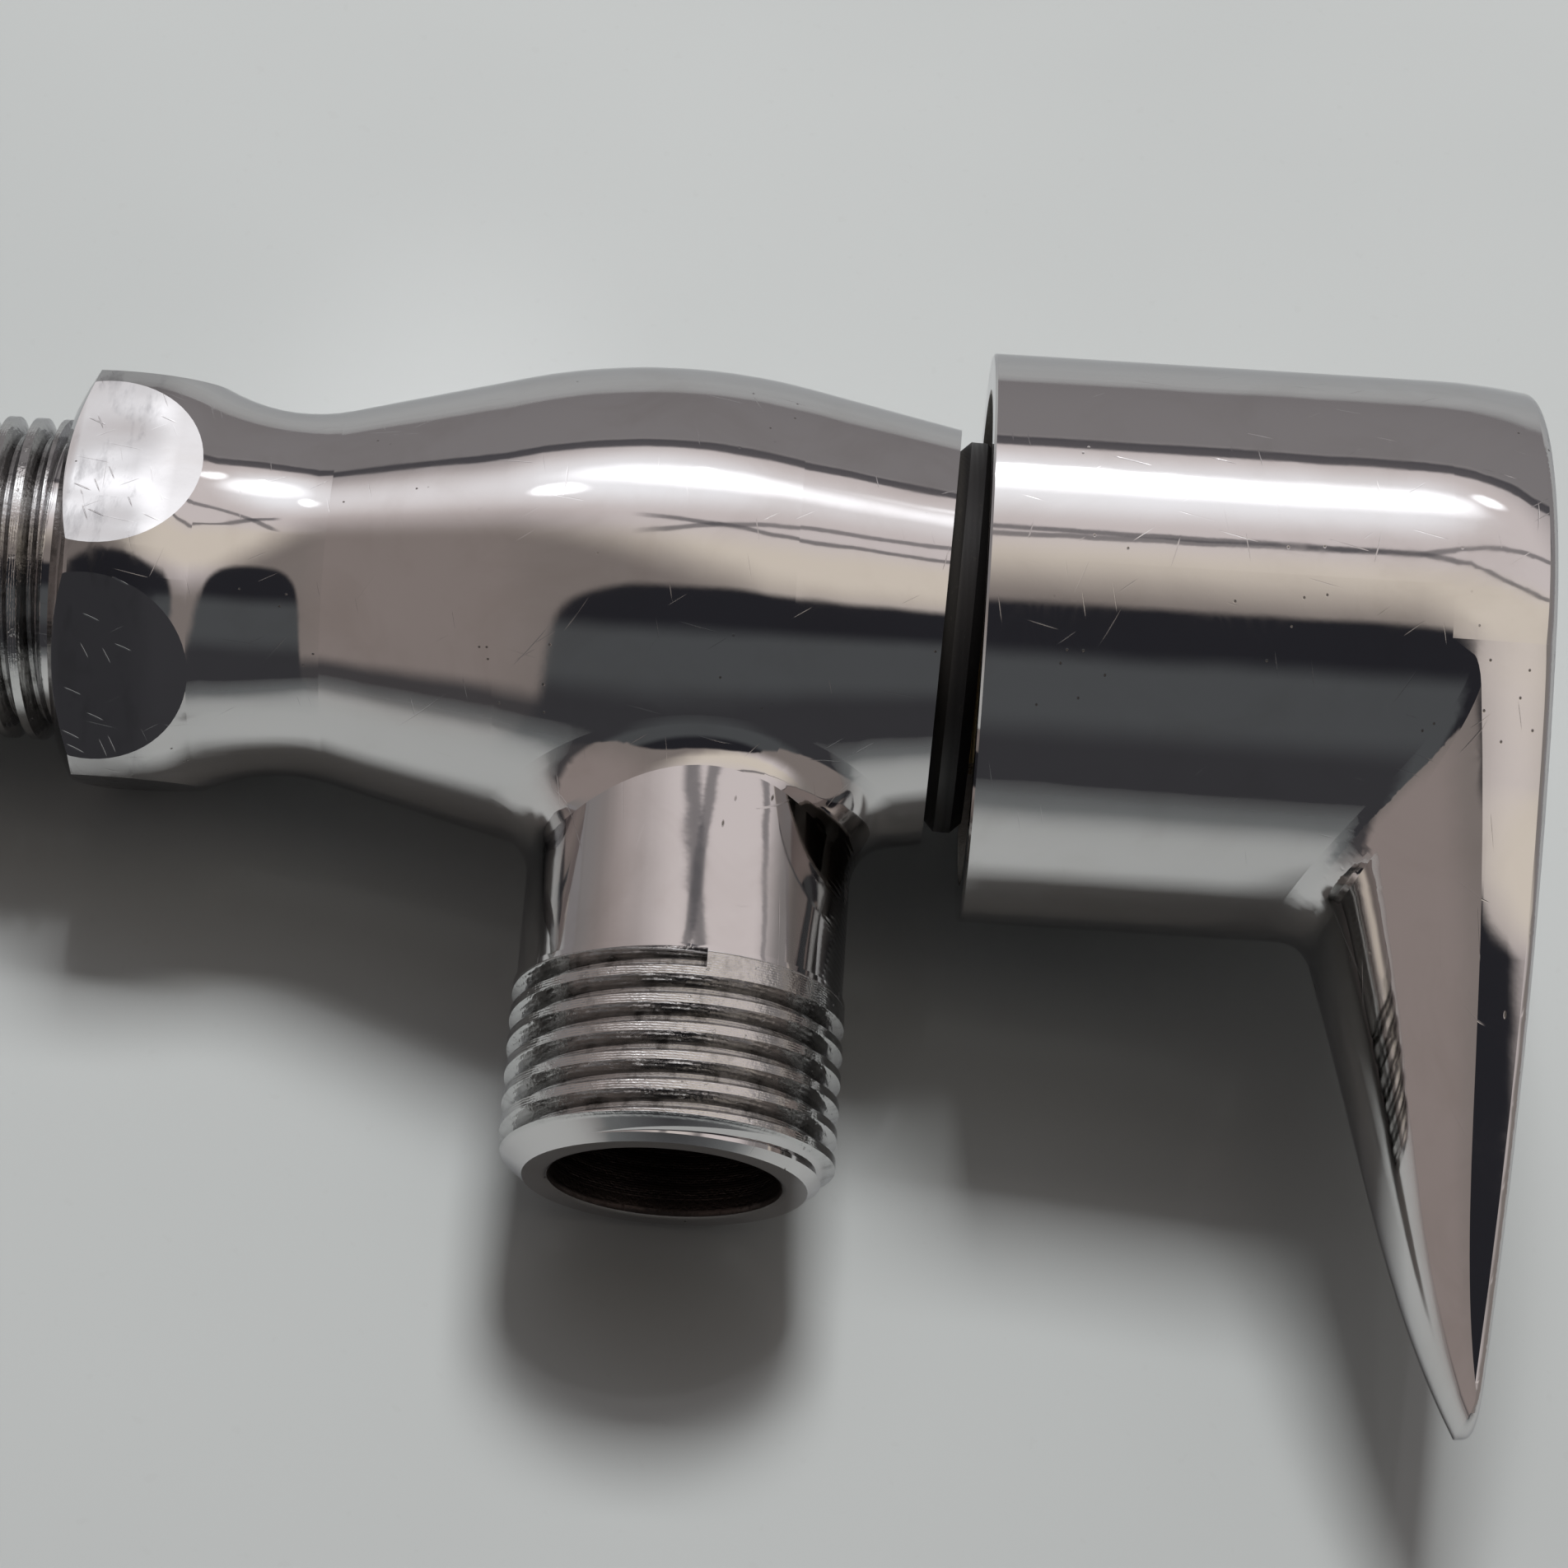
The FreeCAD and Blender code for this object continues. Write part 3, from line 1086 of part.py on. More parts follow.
parts = [
    valveBody(),
    bonnet(),
    ringSeal("bonnet_seal", size("housing_seal_r"), flangeNeck + size("loose_fit")),
    turned("seat_seal", ringPoints(size("seat_x"), fixedDisc, size("seal_in_r"), size("cage_r") - size("loose_fit"))),
    turned("seat_spacer", ringPoints(size("seat_x") + fixed(0.4), fixedDisc, size("spacer_in_r"),
                                     size("seal_in_r") - size("loose_fit"))),
    ceramicDisc("fixed_disc", fixedDisc, 0, True),
    movingDisc(),
    driverPlate(),
    spindle(),
    turned("shoulder_washer", ringPoints(slipX, slipX + size("slip_len"), size("spindle_r") + size("loose_fit") * 2,
                                         size("collar_spindle_r") - size("loose_fit"))),
    ringSeal("o_ring_inner", ringSection, size("ring_groove_r")),
    ringSeal("o_ring_outer", ringSection, size("ring_groove_r")),
    turned("top_washer", ringPoints(size("tube_x"), size("tube_x") + size("slip_len"),
                                    size("spindle_r") + size("loose_fit"), size("tube_r") - size("loose_fit"))),
    circlip(),
    dustRing(),
    handle(),
    splineBush(),
    handleScrew(),
    lockWasher(),
    indexCap(),
]

# move everything to the datum
datum = size("undercut_w") - size("hex_x")
stations = {"bonnet_seal": sealX, "o_ring_inner": size("ring_a_x"), "o_ring_outer": size("ring_b_x"),
            "dust_ring": ringX}
for part in parts:
    x = stations[part.Label] + datum if part.Label in stations else datum
    part.Placement = Placement(Vector(x.value, 0, 0), part.Placement.Rotation)
    bind(part, "Placement.Base.x", x)
doc.recompute()

for item in doc.Objects:
    if "Invalid" in item.State or "Error" in item.State:
        raise RuntimeError("%s is %s" % (item.Label, item.State))
os.makedirs("parts", exist_ok=True)
for part in parts:
    shape = part.Shape
    if shape.isNull() or not shape.isValid() or len(shape.Solids) != 1:
        raise RuntimeError("%s is not one valid solid" % part.Label)
    shape.exportStep("parts/%s.step" % part.Label)
    print("%-16s %9.1f mm3" % (part.Label, shape.Volume))
print("wrote", len(parts), "parts")
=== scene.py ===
import json
import math

import bpy
from mathutils import Matrix, Vector


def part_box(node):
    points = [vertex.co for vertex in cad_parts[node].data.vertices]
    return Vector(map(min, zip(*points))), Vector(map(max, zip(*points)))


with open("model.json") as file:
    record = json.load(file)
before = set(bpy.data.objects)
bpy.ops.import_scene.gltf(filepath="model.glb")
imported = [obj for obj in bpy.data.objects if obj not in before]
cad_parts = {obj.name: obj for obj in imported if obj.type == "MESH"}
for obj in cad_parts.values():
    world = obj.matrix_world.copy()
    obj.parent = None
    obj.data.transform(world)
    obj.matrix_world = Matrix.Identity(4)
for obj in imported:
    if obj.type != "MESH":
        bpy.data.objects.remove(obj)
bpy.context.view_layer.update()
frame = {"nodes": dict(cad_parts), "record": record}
nodes = frame["nodes"]
print("frame loaded with %d nodes" % len(nodes))

mm = 0.001
fullTurn = 2 * math.pi


# Shader maths: a Wire is a socket that can be used in a Python expression.

class Wire:
    def __init__(self, graph, socket):
        self.graph = graph
        self.socket = socket

    def do(self, operation, *others):
        return self.graph.maths(operation, self, *others)

    def __add__(self, other):
        return self.do("ADD", other)

    def __sub__(self, other):
        return self.do("SUBTRACT", other)

    def __mul__(self, other):
        return self.do("MULTIPLY", other)

    def __truediv__(self, other):
        return self.do("DIVIDE", other)

    def __pow__(self, other):
        return self.do("POWER", other)

    def __neg__(self):
        return self.do("MULTIPLY", -1.0)

    def __abs__(self):
        return self.do("ABSOLUTE")

    def __rsub__(self, other):
        return self.graph.maths("SUBTRACT", other, self)

    def __rtruediv__(self, other):
        return self.graph.maths("DIVIDE", other, self)

    __radd__ = __add__
    __rmul__ = __mul__

    # a smooth wave between 0 and 1
    def wave(self):
        return self.do("SINE") * 0.5 + 0.5


class Graph:
    def __init__(self, tree):
        self.tree = tree
        tree.nodes.clear()

    # any node: its settings first, then the values or wires of its sockets
    def add(self, kind, settings, sockets, out=0):
        node = self.tree.nodes.new(kind)
        for key, value in settings.items():
            setattr(node, key, value)
        for key, value in sockets.items():
            socket = node.inputs[key]
            if isinstance(value, Wire):
                self.tree.links.new(value.socket, socket)
            elif socket.type == "RGBA":
                socket.default_value = (*value, 1.0)
            else:
                socket.default_value = value
        return Wire(self, node.outputs[out]) if node.outputs else None

    def maths(self, operation, *values):
        return self.add("ShaderNodeMath", {"operation": operation}, dict(enumerate(values)))

    def mix(self, share, a, b):
        return self.add("ShaderNodeMix", {"data_type": "RGBA"}, {0: share, 6: a, 7: b}, 2)

    # rises from 0 at low to 1 at high
    def step(self, value, low, high):
        return self.add("ShaderNodeMapRange", {"interpolation_type": "SMOOTHSTEP"},
                        {"Value": value, "From Min": low, "From Max": high})

    # falls from 1 at low to 0 at high
    def fall(self, value, low, high):
        return 1.0 - self.step(value, low, high)

    # 1 round a value, fading out between two distances from it
    def near(self, value, centre, close, far):
        return self.fall(abs(value - centre), close, far)

    def axes(self, vector):
        return [self.add("ShaderNodeSeparateXYZ", {}, {0: vector}, i) for i in range(3)]

    # a pattern stretched, then turned by degrees
    def turn(self, vector, angles, scale):
        return self.add("ShaderNodeMapping", {"vector_type": "POINT"}, {
            "Vector": vector, "Rotation": tuple(math.radians(a) for a in angles), "Scale": scale})

    def noise(self, vector, size, detail=3.0, rough=0.5, twist=0.0):
        return self.add("ShaderNodeTexNoise", {}, {
            "Vector": vector, "Scale": 1.0 / size, "Detail": detail, "Roughness": rough,
            "Distortion": twist})

    # distance from the middle of the nearest flat cell
    def cells(self, vector, size):
        return self.add("ShaderNodeTexVoronoi", {"feature": "F1", "voronoi_dimensions": "2D"},
                        {"Vector": vector, "Scale": 1.0 / size}, "Distance")


class Look(Graph):
    def __init__(self, name):
        self.material = bpy.data.materials.new(name)
        self.material.use_nodes = True
        super().__init__(self.material.node_tree)
        self.place = self.add("ShaderNodeTexCoord", {}, {}, "Object")
        self.x, self.y, self.z = self.axes(self.place)
        self.facingX = self.axes(self.add("ShaderNodeNewGeometry", {}, {}, "Normal"))[0]

    def bump(self, height, depth, base=None):
        sockets = {"Height": height, "Distance": depth, "Strength": 1.0}
        if base is not None:
            sockets["Normal"] = base
        return self.add("ShaderNodeBump", {}, sockets)

    def finish(self, colour, rough, metal, normal, more=None):
        shader = self.add("ShaderNodeBsdfPrincipled", {}, {
            "Base Color": colour, "Roughness": rough, "Metallic": metal, "Normal": normal,
            **(more or {})})
        self.add("ShaderNodeOutputMaterial", {}, {"Surface": shader})
        return self.material

    # distance and angle round the valve's axis, which is X
    def fromAxis(self):
        return (self.y ** 2.0 + self.z ** 2.0) ** 0.5

    def angle(self):
        return self.z.do("ARCTAN2", self.y)

    # soft-edged patches of noise
    def patches(self, size, low, high, *shape):
        return self.step(self.noise(self.place, size, *shape), low, high)

    # a flat coordinate from two lengths, for patterns on an unrolled surface
    def flat(self, along, across):
        return self.add("ShaderNodeCombineXYZ", {}, {0: along, 1: across, 2: 0.0})

    def rolled(self, radius):
        return self.flat(self.x, self.angle() * radius)

    # fine scratches on a flat coordinate: each cell, drawn out, has one stroke in its middle
    def strokes(self, flat, angle, size, length, width):
        drawn = self.add("ShaderNodeMapping", {"vector_type": "TEXTURE"}, {
            "Vector": flat, "Rotation": (0.0, 0.0, math.radians(angle)),
            "Scale": (length, 1.0, 1.0)})
        return self.fall(self.cells(drawn, size), width * 0.4, width)

    # lathe rings: along the axis on round faces, across it on end faces
    def latheRings(self, pitch, chatter):
        onEnd = self.step(abs(self.facingX), 0.6, 0.85)
        run = self.x * (1.0 - onEnd) + self.fromAxis() * onEnd
        shake = self.noise(self.turn(self.place, (0, 0, 0), (1.0, 0.2, 0.2)), 0.5 * mm, 3.0, 0.6)
        return (run * (fullTurn / pitch) + shake * chatter).wave()


# stands at a place, with its Z along a direction
def aimed(place, direction):
    return Matrix.Translation(place) @ direction.to_track_quat("Z", "Y").to_matrix().to_4x4()


def dress(name, material):
    mesh = nodes[name].data
    mesh.materials.clear()
    mesh.materials.append(material)


# Camera: in front of the valve and below its outlet, looking up at it by 22 degrees.

cameraSetup = {
    "place": (51.1576 * mm, -249.7673 * mm, -112.0303 * mm),
    "right": (0.9978759, -0.0119363, 0.0640412),
    "down": (0.0638417, 0.3747794, -0.9249133),
    "forward": (-0.0129613, 0.9270372, 0.3747454),
    "lens": 96.4476,
    "sensor": 36.0,
    "nearest": 0.01,
    "furthest": 20.0,
}


def addCamera(setup):
    data = bpy.data.cameras.new("valveCamera")
    data.lens = setup["lens"]
    data.sensor_width = setup["sensor"]
    data.clip_start = setup["nearest"]
    data.clip_end = setup["furthest"]
    camera = bpy.data.objects.new("valveCamera", data)
    bpy.context.scene.collection.objects.link(camera)
    right, up, back = Vector(setup["right"]), -Vector(setup["down"]), -Vector(setup["forward"])
    turn = Matrix((right, up, back)).transposed().to_4x4()
    camera.matrix_world = Matrix.Translation(Vector(setup["place"])) @ turn
    bpy.context.scene.camera = camera


addCamera(cameraSetup)
print("camera placed")


# Floor: the valve lies on it with its hexagon, its handle and the end of its outlet.

floorSetup = {
    "touches": ((2.43, 14.01, 3.39), (59.55, 18.12, -3.73), (40.79, 10.41, -36.17)),   # in mm
    "gap": 0.05 * mm,
    "half": 1.4,
    "tint": (0.585, 0.615, 0.615),
    "shade": (0.54, 0.57, 0.57),
    "grey": (0.27, 0.295, 0.30),
    "paintedShadowFrom": (0.065, 0.14),
    "speck": (0.4, 0.4, 0.39),
    "polish": 0.05,
    "glass": 1.5,
    "shine": 0.22,
}


def floorUp():
    a, b, c = (Vector(p) for p in floorSetup["touches"])
    up = (b - a).cross(c - a).normalized()
    return up if up.y < 0 else -up


def addFloor(setup):
    up = floorUp()
    centre = Vector(setup["touches"][1]) * mm - up * setup["gap"]
    bpy.ops.object.select_all(action="DESELECT")
    bpy.ops.mesh.primitive_plane_add(size=2 * setup["half"])
    floor = bpy.context.active_object
    floor.name = "paleTile"
    floor.matrix_world = aimed(centre, up)
    look = Look("paleTile")
    cloud = look.patches(0.12, 0.35, 0.7, 3.0, 0.5, 0.4)
    speck = look.patches(0.0012, 0.66, 0.74, 2.0)
    smear = look.noise(look.place, 0.05, 4.0, 0.6)
    tint = look.mix(cloud, setup["tint"], setup["shade"])
    # painted shadow: the tile gets a little greyer towards where the camera stands, as though
    # shade fell on it there
    tint = look.mix(look.step(-look.y, *setup["paintedShadowFrom"]), tint, setup["grey"])
    tint = look.mix(speck * 0.06, tint, setup["speck"])
    face = look.add("ShaderNodeBsdfPrincipled", {}, {
        "Base Color": tint, "Roughness": smear * 0.08 + setup["polish"], "IOR": setup["glass"],
        "Specular IOR Level": setup["shine"]})
    # the back of the floor isn't there for the camera, so the valve can be seen from behind
    seen = look.add("ShaderNodeLightPath", {}, {}, "Is Camera Ray")
    hind = look.add("ShaderNodeNewGeometry", {}, {}, "Backfacing")
    clear = look.add("ShaderNodeBsdfTransparent", {}, {"Color": (1.0, 1.0, 1.0)})
    shader = look.add("ShaderNodeMixShader", {}, {0: seen * hind, 1: face, 2: clear})
    look.add("ShaderNodeOutputMaterial", {}, {"Surface": shader})
    floor.data.materials.append(look.material)


addFloor(floorSetup)
print("floor laid")


# Light: a pale room with soft lights above and a dark side where the camera stands.
# Its angles are degrees round the valve's axis: 0 is straight in front, 90 overhead and -90 below.
# Its places along that axis run from -1 on the left to 1 on the right.

roomSetup = {
    "ceiling": (0.76, 0.69, 0.685),
    "cream": (0.80, 0.72, 0.63),
    "wall": (0.25, 0.225, 0.21),
    "farWall": (0.26, 0.245, 0.25),
    "leftWall": (0.245, 0.213, 0.200),
    "sideWall": (0.31, 0.262, 0.248),
    "edge": (0.045, 0.045, 0.055),
    "beam": (0.07, 0.07, 0.08),
    "dark": (0.022, 0.022, 0.027),
    "middle": (0.085, 0.09, 0.095),
    "foot": (0.045, 0.045, 0.05),
    "backdrop": (0.80, 0.80, 0.795),
    "strength": 0.92,
    "onMatte": 0.44,
    "waver": 8.0,              # how far an edge may wander
    "wallRise": (-0.2, 0.7),
    "ceilingRise": (0.40, 0.72),
    "ceilingEnds": 62.0,
    "ceilingReach": (0.75, 0.95),
    "edgeWidth": (1.6, 3.2),
    "creamAt": 2.0,
    "creamWidth": (6.0, 20.0),
    "leftSlope": 40.0,         # the light part ends on the left, the lower the sooner
    "leftEnds": (-9.0, 19.0),
    "leftTurns": (0.35, 0.75),
    "beamsFrom": (-0.16, -0.04),
    # beams: slope, angle, solid and soft half width, depth
    "beams": ((9.0, 22.0, 0.6, 1.4, 0.75), (-22.0, 18.0, 0.7, 1.6, 0.7)),
    # soft lights: angle, place along the axis, half sizes of both, brightness
    "lights": (
        (42.0, -0.08, 19.0, 0.66, 1.25),
        (44.0, 0.04, 7.5, 0.46, 2.2),
        (46.0, 0.05, 4.5, 0.06, 8.0),
        (37.0, -0.34, 4.0, 0.10, 3.0),
        (50.0, 0.42, 3.0, 0.12, 2.4)),
    "lightTint": (0.96, 0.965, 1.0),
    "footAngle": (-73.0, -61.0),
    "footEnds": (0.0, 0.1),
    # dark side: its middle and half sizes along the axis and round it, and its soft rim
    "darkAlong": (0.10, 0.50),
    "darkAngle": (-57.0, 49.0),
    "darkRim": (0.78, 1.08),
    "deepAngle": (-34.0, -24.0),
    "lowAngle": (-66.0, -50.0),
}


def addRoom(setup):
    world = bpy.data.worlds.new("paleRoom")
    bpy.context.scene.world = world
    world.use_nodes = True
    room = Graph(world.node_tree)
    ray = room.add("ShaderNodeTexCoord", {}, {}, "Generated")
    x, y, z = room.axes(ray)
    height = room.add("ShaderNodeVectorMath", {"operation": "DOT_PRODUCT"},
                      {0: ray, 1: tuple(floorUp())}, "Value")
    around = z.do("ARCTAN2", -y) * (360.0 / fullTurn)
    wobble = (room.noise(ray, 0.35, 2.0) - 0.5) * setup["waver"]
    # walls, and the ceiling with a cream band low over the front
    colour = room.mix(room.step(z, *setup["wallRise"]), setup["wall"], setup["farWall"])
    cream = room.near(around, setup["creamAt"], *setup["creamWidth"])
    lift = room.step(height + wobble * 0.01, *setup["ceilingRise"])
    colour = room.mix(lift, colour, room.mix(cream, setup["ceiling"], setup["cream"]))
    # left of it the walls are brown
    brown = room.mix(room.step(-x, *setup["leftTurns"]), setup["leftWall"], setup["sideWall"])
    reach = x * setup["leftSlope"] + around + wobble * 0.6
    colour = room.mix(room.step(reach, *setup["leftEnds"]), brown, colour)
    # the ceiling ends in a dark line, and behind it the far wall is grey
    end = setup["ceilingEnds"]
    wavy = around + wobble * 0.3
    colour = room.mix(room.step(wavy, end, end + 4.0), colour, setup["farWall"])
    side = room.near(x, 0.0, *setup["ceilingReach"])
    edge = room.near(wavy, end, *setup["edgeWidth"])
    colour = room.mix(edge * side * 0.88, colour, setup["edge"])
    # two thin beams that meet
    shown = room.step(x, *setup["beamsFrom"]) * side
    for slope, angle, solid, soft, depth in setup["beams"]:
        beam = room.near(around + x * slope, angle, solid, soft)
        colour = room.mix(beam * shown * depth, colour, setup["beam"])
    for angle, along, halfAngle, halfAlong, bright in setup["lights"]:
        off = (((around - angle) / halfAngle) ** 2.0 + ((x - along) / halfAlong) ** 2.0) ** 0.5
        glow = room.fall(off, 0.25, 1.0)
        colour = room.mix(glow, colour, tuple(bright * part for part in setup["lightTint"]))
    # dark foot of the left side, just over the tile
    foot = (room.fall(around + wobble * 0.5, *setup["footAngle"])
            * room.fall(x, *setup["footEnds"]))
    colour = room.mix(foot * 0.9, colour, setup["foot"])
    # dark side: a rounded square from in front down to the floor, darkest at its upper edge
    along, halfAlong = setup["darkAlong"]
    angle, halfAngle = setup["darkAngle"]
    across = ((x - along) / halfAlong) ** 4.0
    down = ((around + wobble * 0.35 - angle) / halfAngle) ** 4.0
    deep = room.mix(room.step(around, *setup["deepAngle"]), setup["middle"], setup["dark"])
    deep = room.mix(room.step(around, *setup["lowAngle"]), setup["foot"], deep)
    colour = room.mix(room.fall(across + down, *setup["darkRim"]), colour, deep)
    # matte surfaces get less of the room and more of the lamp, so the shadow stays deep
    matte = room.add("ShaderNodeLightPath", {}, {}, "Is Diffuse Ray")
    level = setup["strength"] - matte * (setup["strength"] - setup["onMatte"])
    inner = room.add("ShaderNodeBackground", {}, {"Color": colour, "Strength": level})
    backdrop = room.add("ShaderNodeBackground", {}, {"Color": setup["backdrop"], "Strength": 1.0})
    seen = room.add("ShaderNodeLightPath", {}, {}, "Is Camera Ray")
    both = room.add("ShaderNodeMixShader", {}, {0: seen, 1: inner, 2: backdrop})
    room.add("ShaderNodeOutputWorld", {}, {"Surface": both})


# the lamp gives the soft shadow; what the chrome mirrors is the room's own light
lampSetup = {
    "toward": (0.08, -0.731, 0.682),
    "from": (45 * mm, 0.0, -5 * mm),
    "far": 0.95,
    "wide": 0.30,
    "deep": 0.22,
    "watts": 7.2,
    "tint": (1.0, 0.99, 0.98),
    "mirrored": False,
}


def addLamp(setup):
    data = bpy.data.lights.new("softLamp", "AREA")
    data.shape = "RECTANGLE"
    data.size = setup["wide"]
    data.size_y = setup["deep"]
    data.energy = setup["watts"]
    data.color = setup["tint"]
    lamp = bpy.data.objects.new("softLamp", data)
    lamp.visible_glossy = setup["mirrored"]
    bpy.context.scene.collection.objects.link(lamp)
    toward = Vector(setup["toward"]).normalized()
    lamp.matrix_world = aimed(Vector(setup["from"]) + toward * setup["far"], toward)


addRoom(roomSetup)
addLamp(lampSetup)
bpy.context.scene.view_settings.view_transform = "Standard"
print("room and lamp set")


# Polished chrome, shared by the body, the handle and the cap: smears, pits and fine strokes.

chromeWear = {
    "smear": 8 * mm,
    "haze": 1.1 * mm,
    "handled": 6 * mm,
    "pitted": 7 * mm,
    "pitGap": 2.4 * mm,
    "pit": (0.10, 0.085, 0.07),
    "swell": 5.5 * mm,
    "swellDeep": 0.030 * mm,
    "peel": 0.9 * mm,
    "peelDeep": 0.0012 * mm,
    "markDeep": 0.0022 * mm,
    "unrolledAt": 16 * mm,
    # strokes: angle, gap between them, how many gaps long, width as a share of the gap
    "strokes": (
        (12, 1.1 * mm, 42.0, 0.030),
        (78, 1.0 * mm, 34.0, 0.028),
        (-35, 1.3 * mm, 30.0, 0.022)),
    "leverStrokes": (83, 1.2 * mm, 40.0, 0.028),
}


def chromeSurface(look, setup):
    smear = look.patches(chromeWear["smear"], 0.45, 0.75, 4.0, 0.6, 0.6)
    haze = look.noise(look.place, chromeWear["haze"])
    rolled = look.rolled(chromeWear["unrolledAt"])
    # the lever's flat sides take their strokes from a slanted sheet
    sheet = look.flat((look.x + look.y) * 0.7, look.z)
    marks = look.strokes(sheet, *chromeWear["leverStrokes"])
    for stroke in chromeWear["strokes"]:
        marks = marks.do("MAXIMUM", look.strokes(rolled, *stroke))
    marks = marks * look.patches(chromeWear["handled"], 0.40, 0.50, 2.0)
    pits = (look.fall(look.cells(rolled, chromeWear["pitGap"]), 0.015, 0.045)
            * look.patches(chromeWear["pitted"], 0.60, 0.66, 1.0))
    swell = look.noise(look.place, chromeWear["swell"], 1.0)
    peel = look.noise(look.place, chromeWear["peel"], 2.0)
    colour = look.mix(smear * 0.7, setup["chrome"], setup["chromeWarm"])
    colour = look.mix(pits * 0.8, colour, chromeWear["pit"])
    rough = smear * 0.035 + haze * 0.02 + marks * setup["wear"] * 0.16 + pits * 0.4
    rough = rough + setup["polish"]
    normal = look.bump(swell, chromeWear["swellDeep"])
    normal = look.bump(peel, chromeWear["peelDeep"], normal)
    normal = look.bump(marks * -1.0 - pits * 2.0, chromeWear["markDeep"] * setup["wear"], normal)
    return colour, rough, normal


# Valve body: polished chrome, duller cut threads with painted shade in their grooves, scuffed
# wrench flats, and bores painted dark as shade.

bodyLow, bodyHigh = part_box("valve_body")
mounts = {mount["name"]: mount for mount in frame["record"]["mounts"]}
outletMount = mounts["outlet_thread"]

bodySetup = {
    "chrome": (0.74, 0.725, 0.72),
    "chromeWarm": (0.66, 0.635, 0.62),
    "grazing": (0.66, 0.66, 0.68),
    "polish": 0.035,
    "wear": 1.0,
    "outletX": outletMount["pos_m"][0],
    # wrench hexagon: where it fades in and out along X
    "hexFrom": (1.0 * mm, 2.2 * mm),
    "hexTo": (6.0 * mm, 8.5 * mm),
    "hexUnrolledAt": 14 * mm,
    "rubbed": (0.36, 0.355, 0.36),
    # turned end face under the dust ring
    "endFrom": (bodyHigh.x - 7.7 * mm, bodyHigh.x - 5.7 * mm),
    "endRings": 0.42 * mm,
    "endTint": (0.42, 0.40, 0.38),
    # threads: the inlet's ends just past the origin, the outlet's runs up from its mouth
    "thread": (0.68, 0.675, 0.665),
    "threadDark": (0.40, 0.395, 0.385),
    "groove": (0.10, 0.095, 0.09),
    "threadRound": outletMount["dims"]["r_mm"] * mm,
    "inletEnds": (0.10 * mm, 0.20 * mm),
    "outletStarts": (bodyLow.z + 11.75 * mm, bodyLow.z + 11.85 * mm),
    "mouth": (bodyLow.z + 1.1 * mm, bodyLow.z + 1.3 * mm),
    "threadLines": 0.16 * mm,
    # drilled ways
    "wayRound": (7.30 * mm, 7.36 * mm),
    "wayEnds": (32 * mm, 33 * mm),
    "wayDownEnds": (-9 * mm, -8 * mm),
    "drillRings": 0.9 * mm,
    "boreShade": (0.075, 0.06, 0.055),
    "boreShadeDark": (0.045, 0.035, 0.03),
}


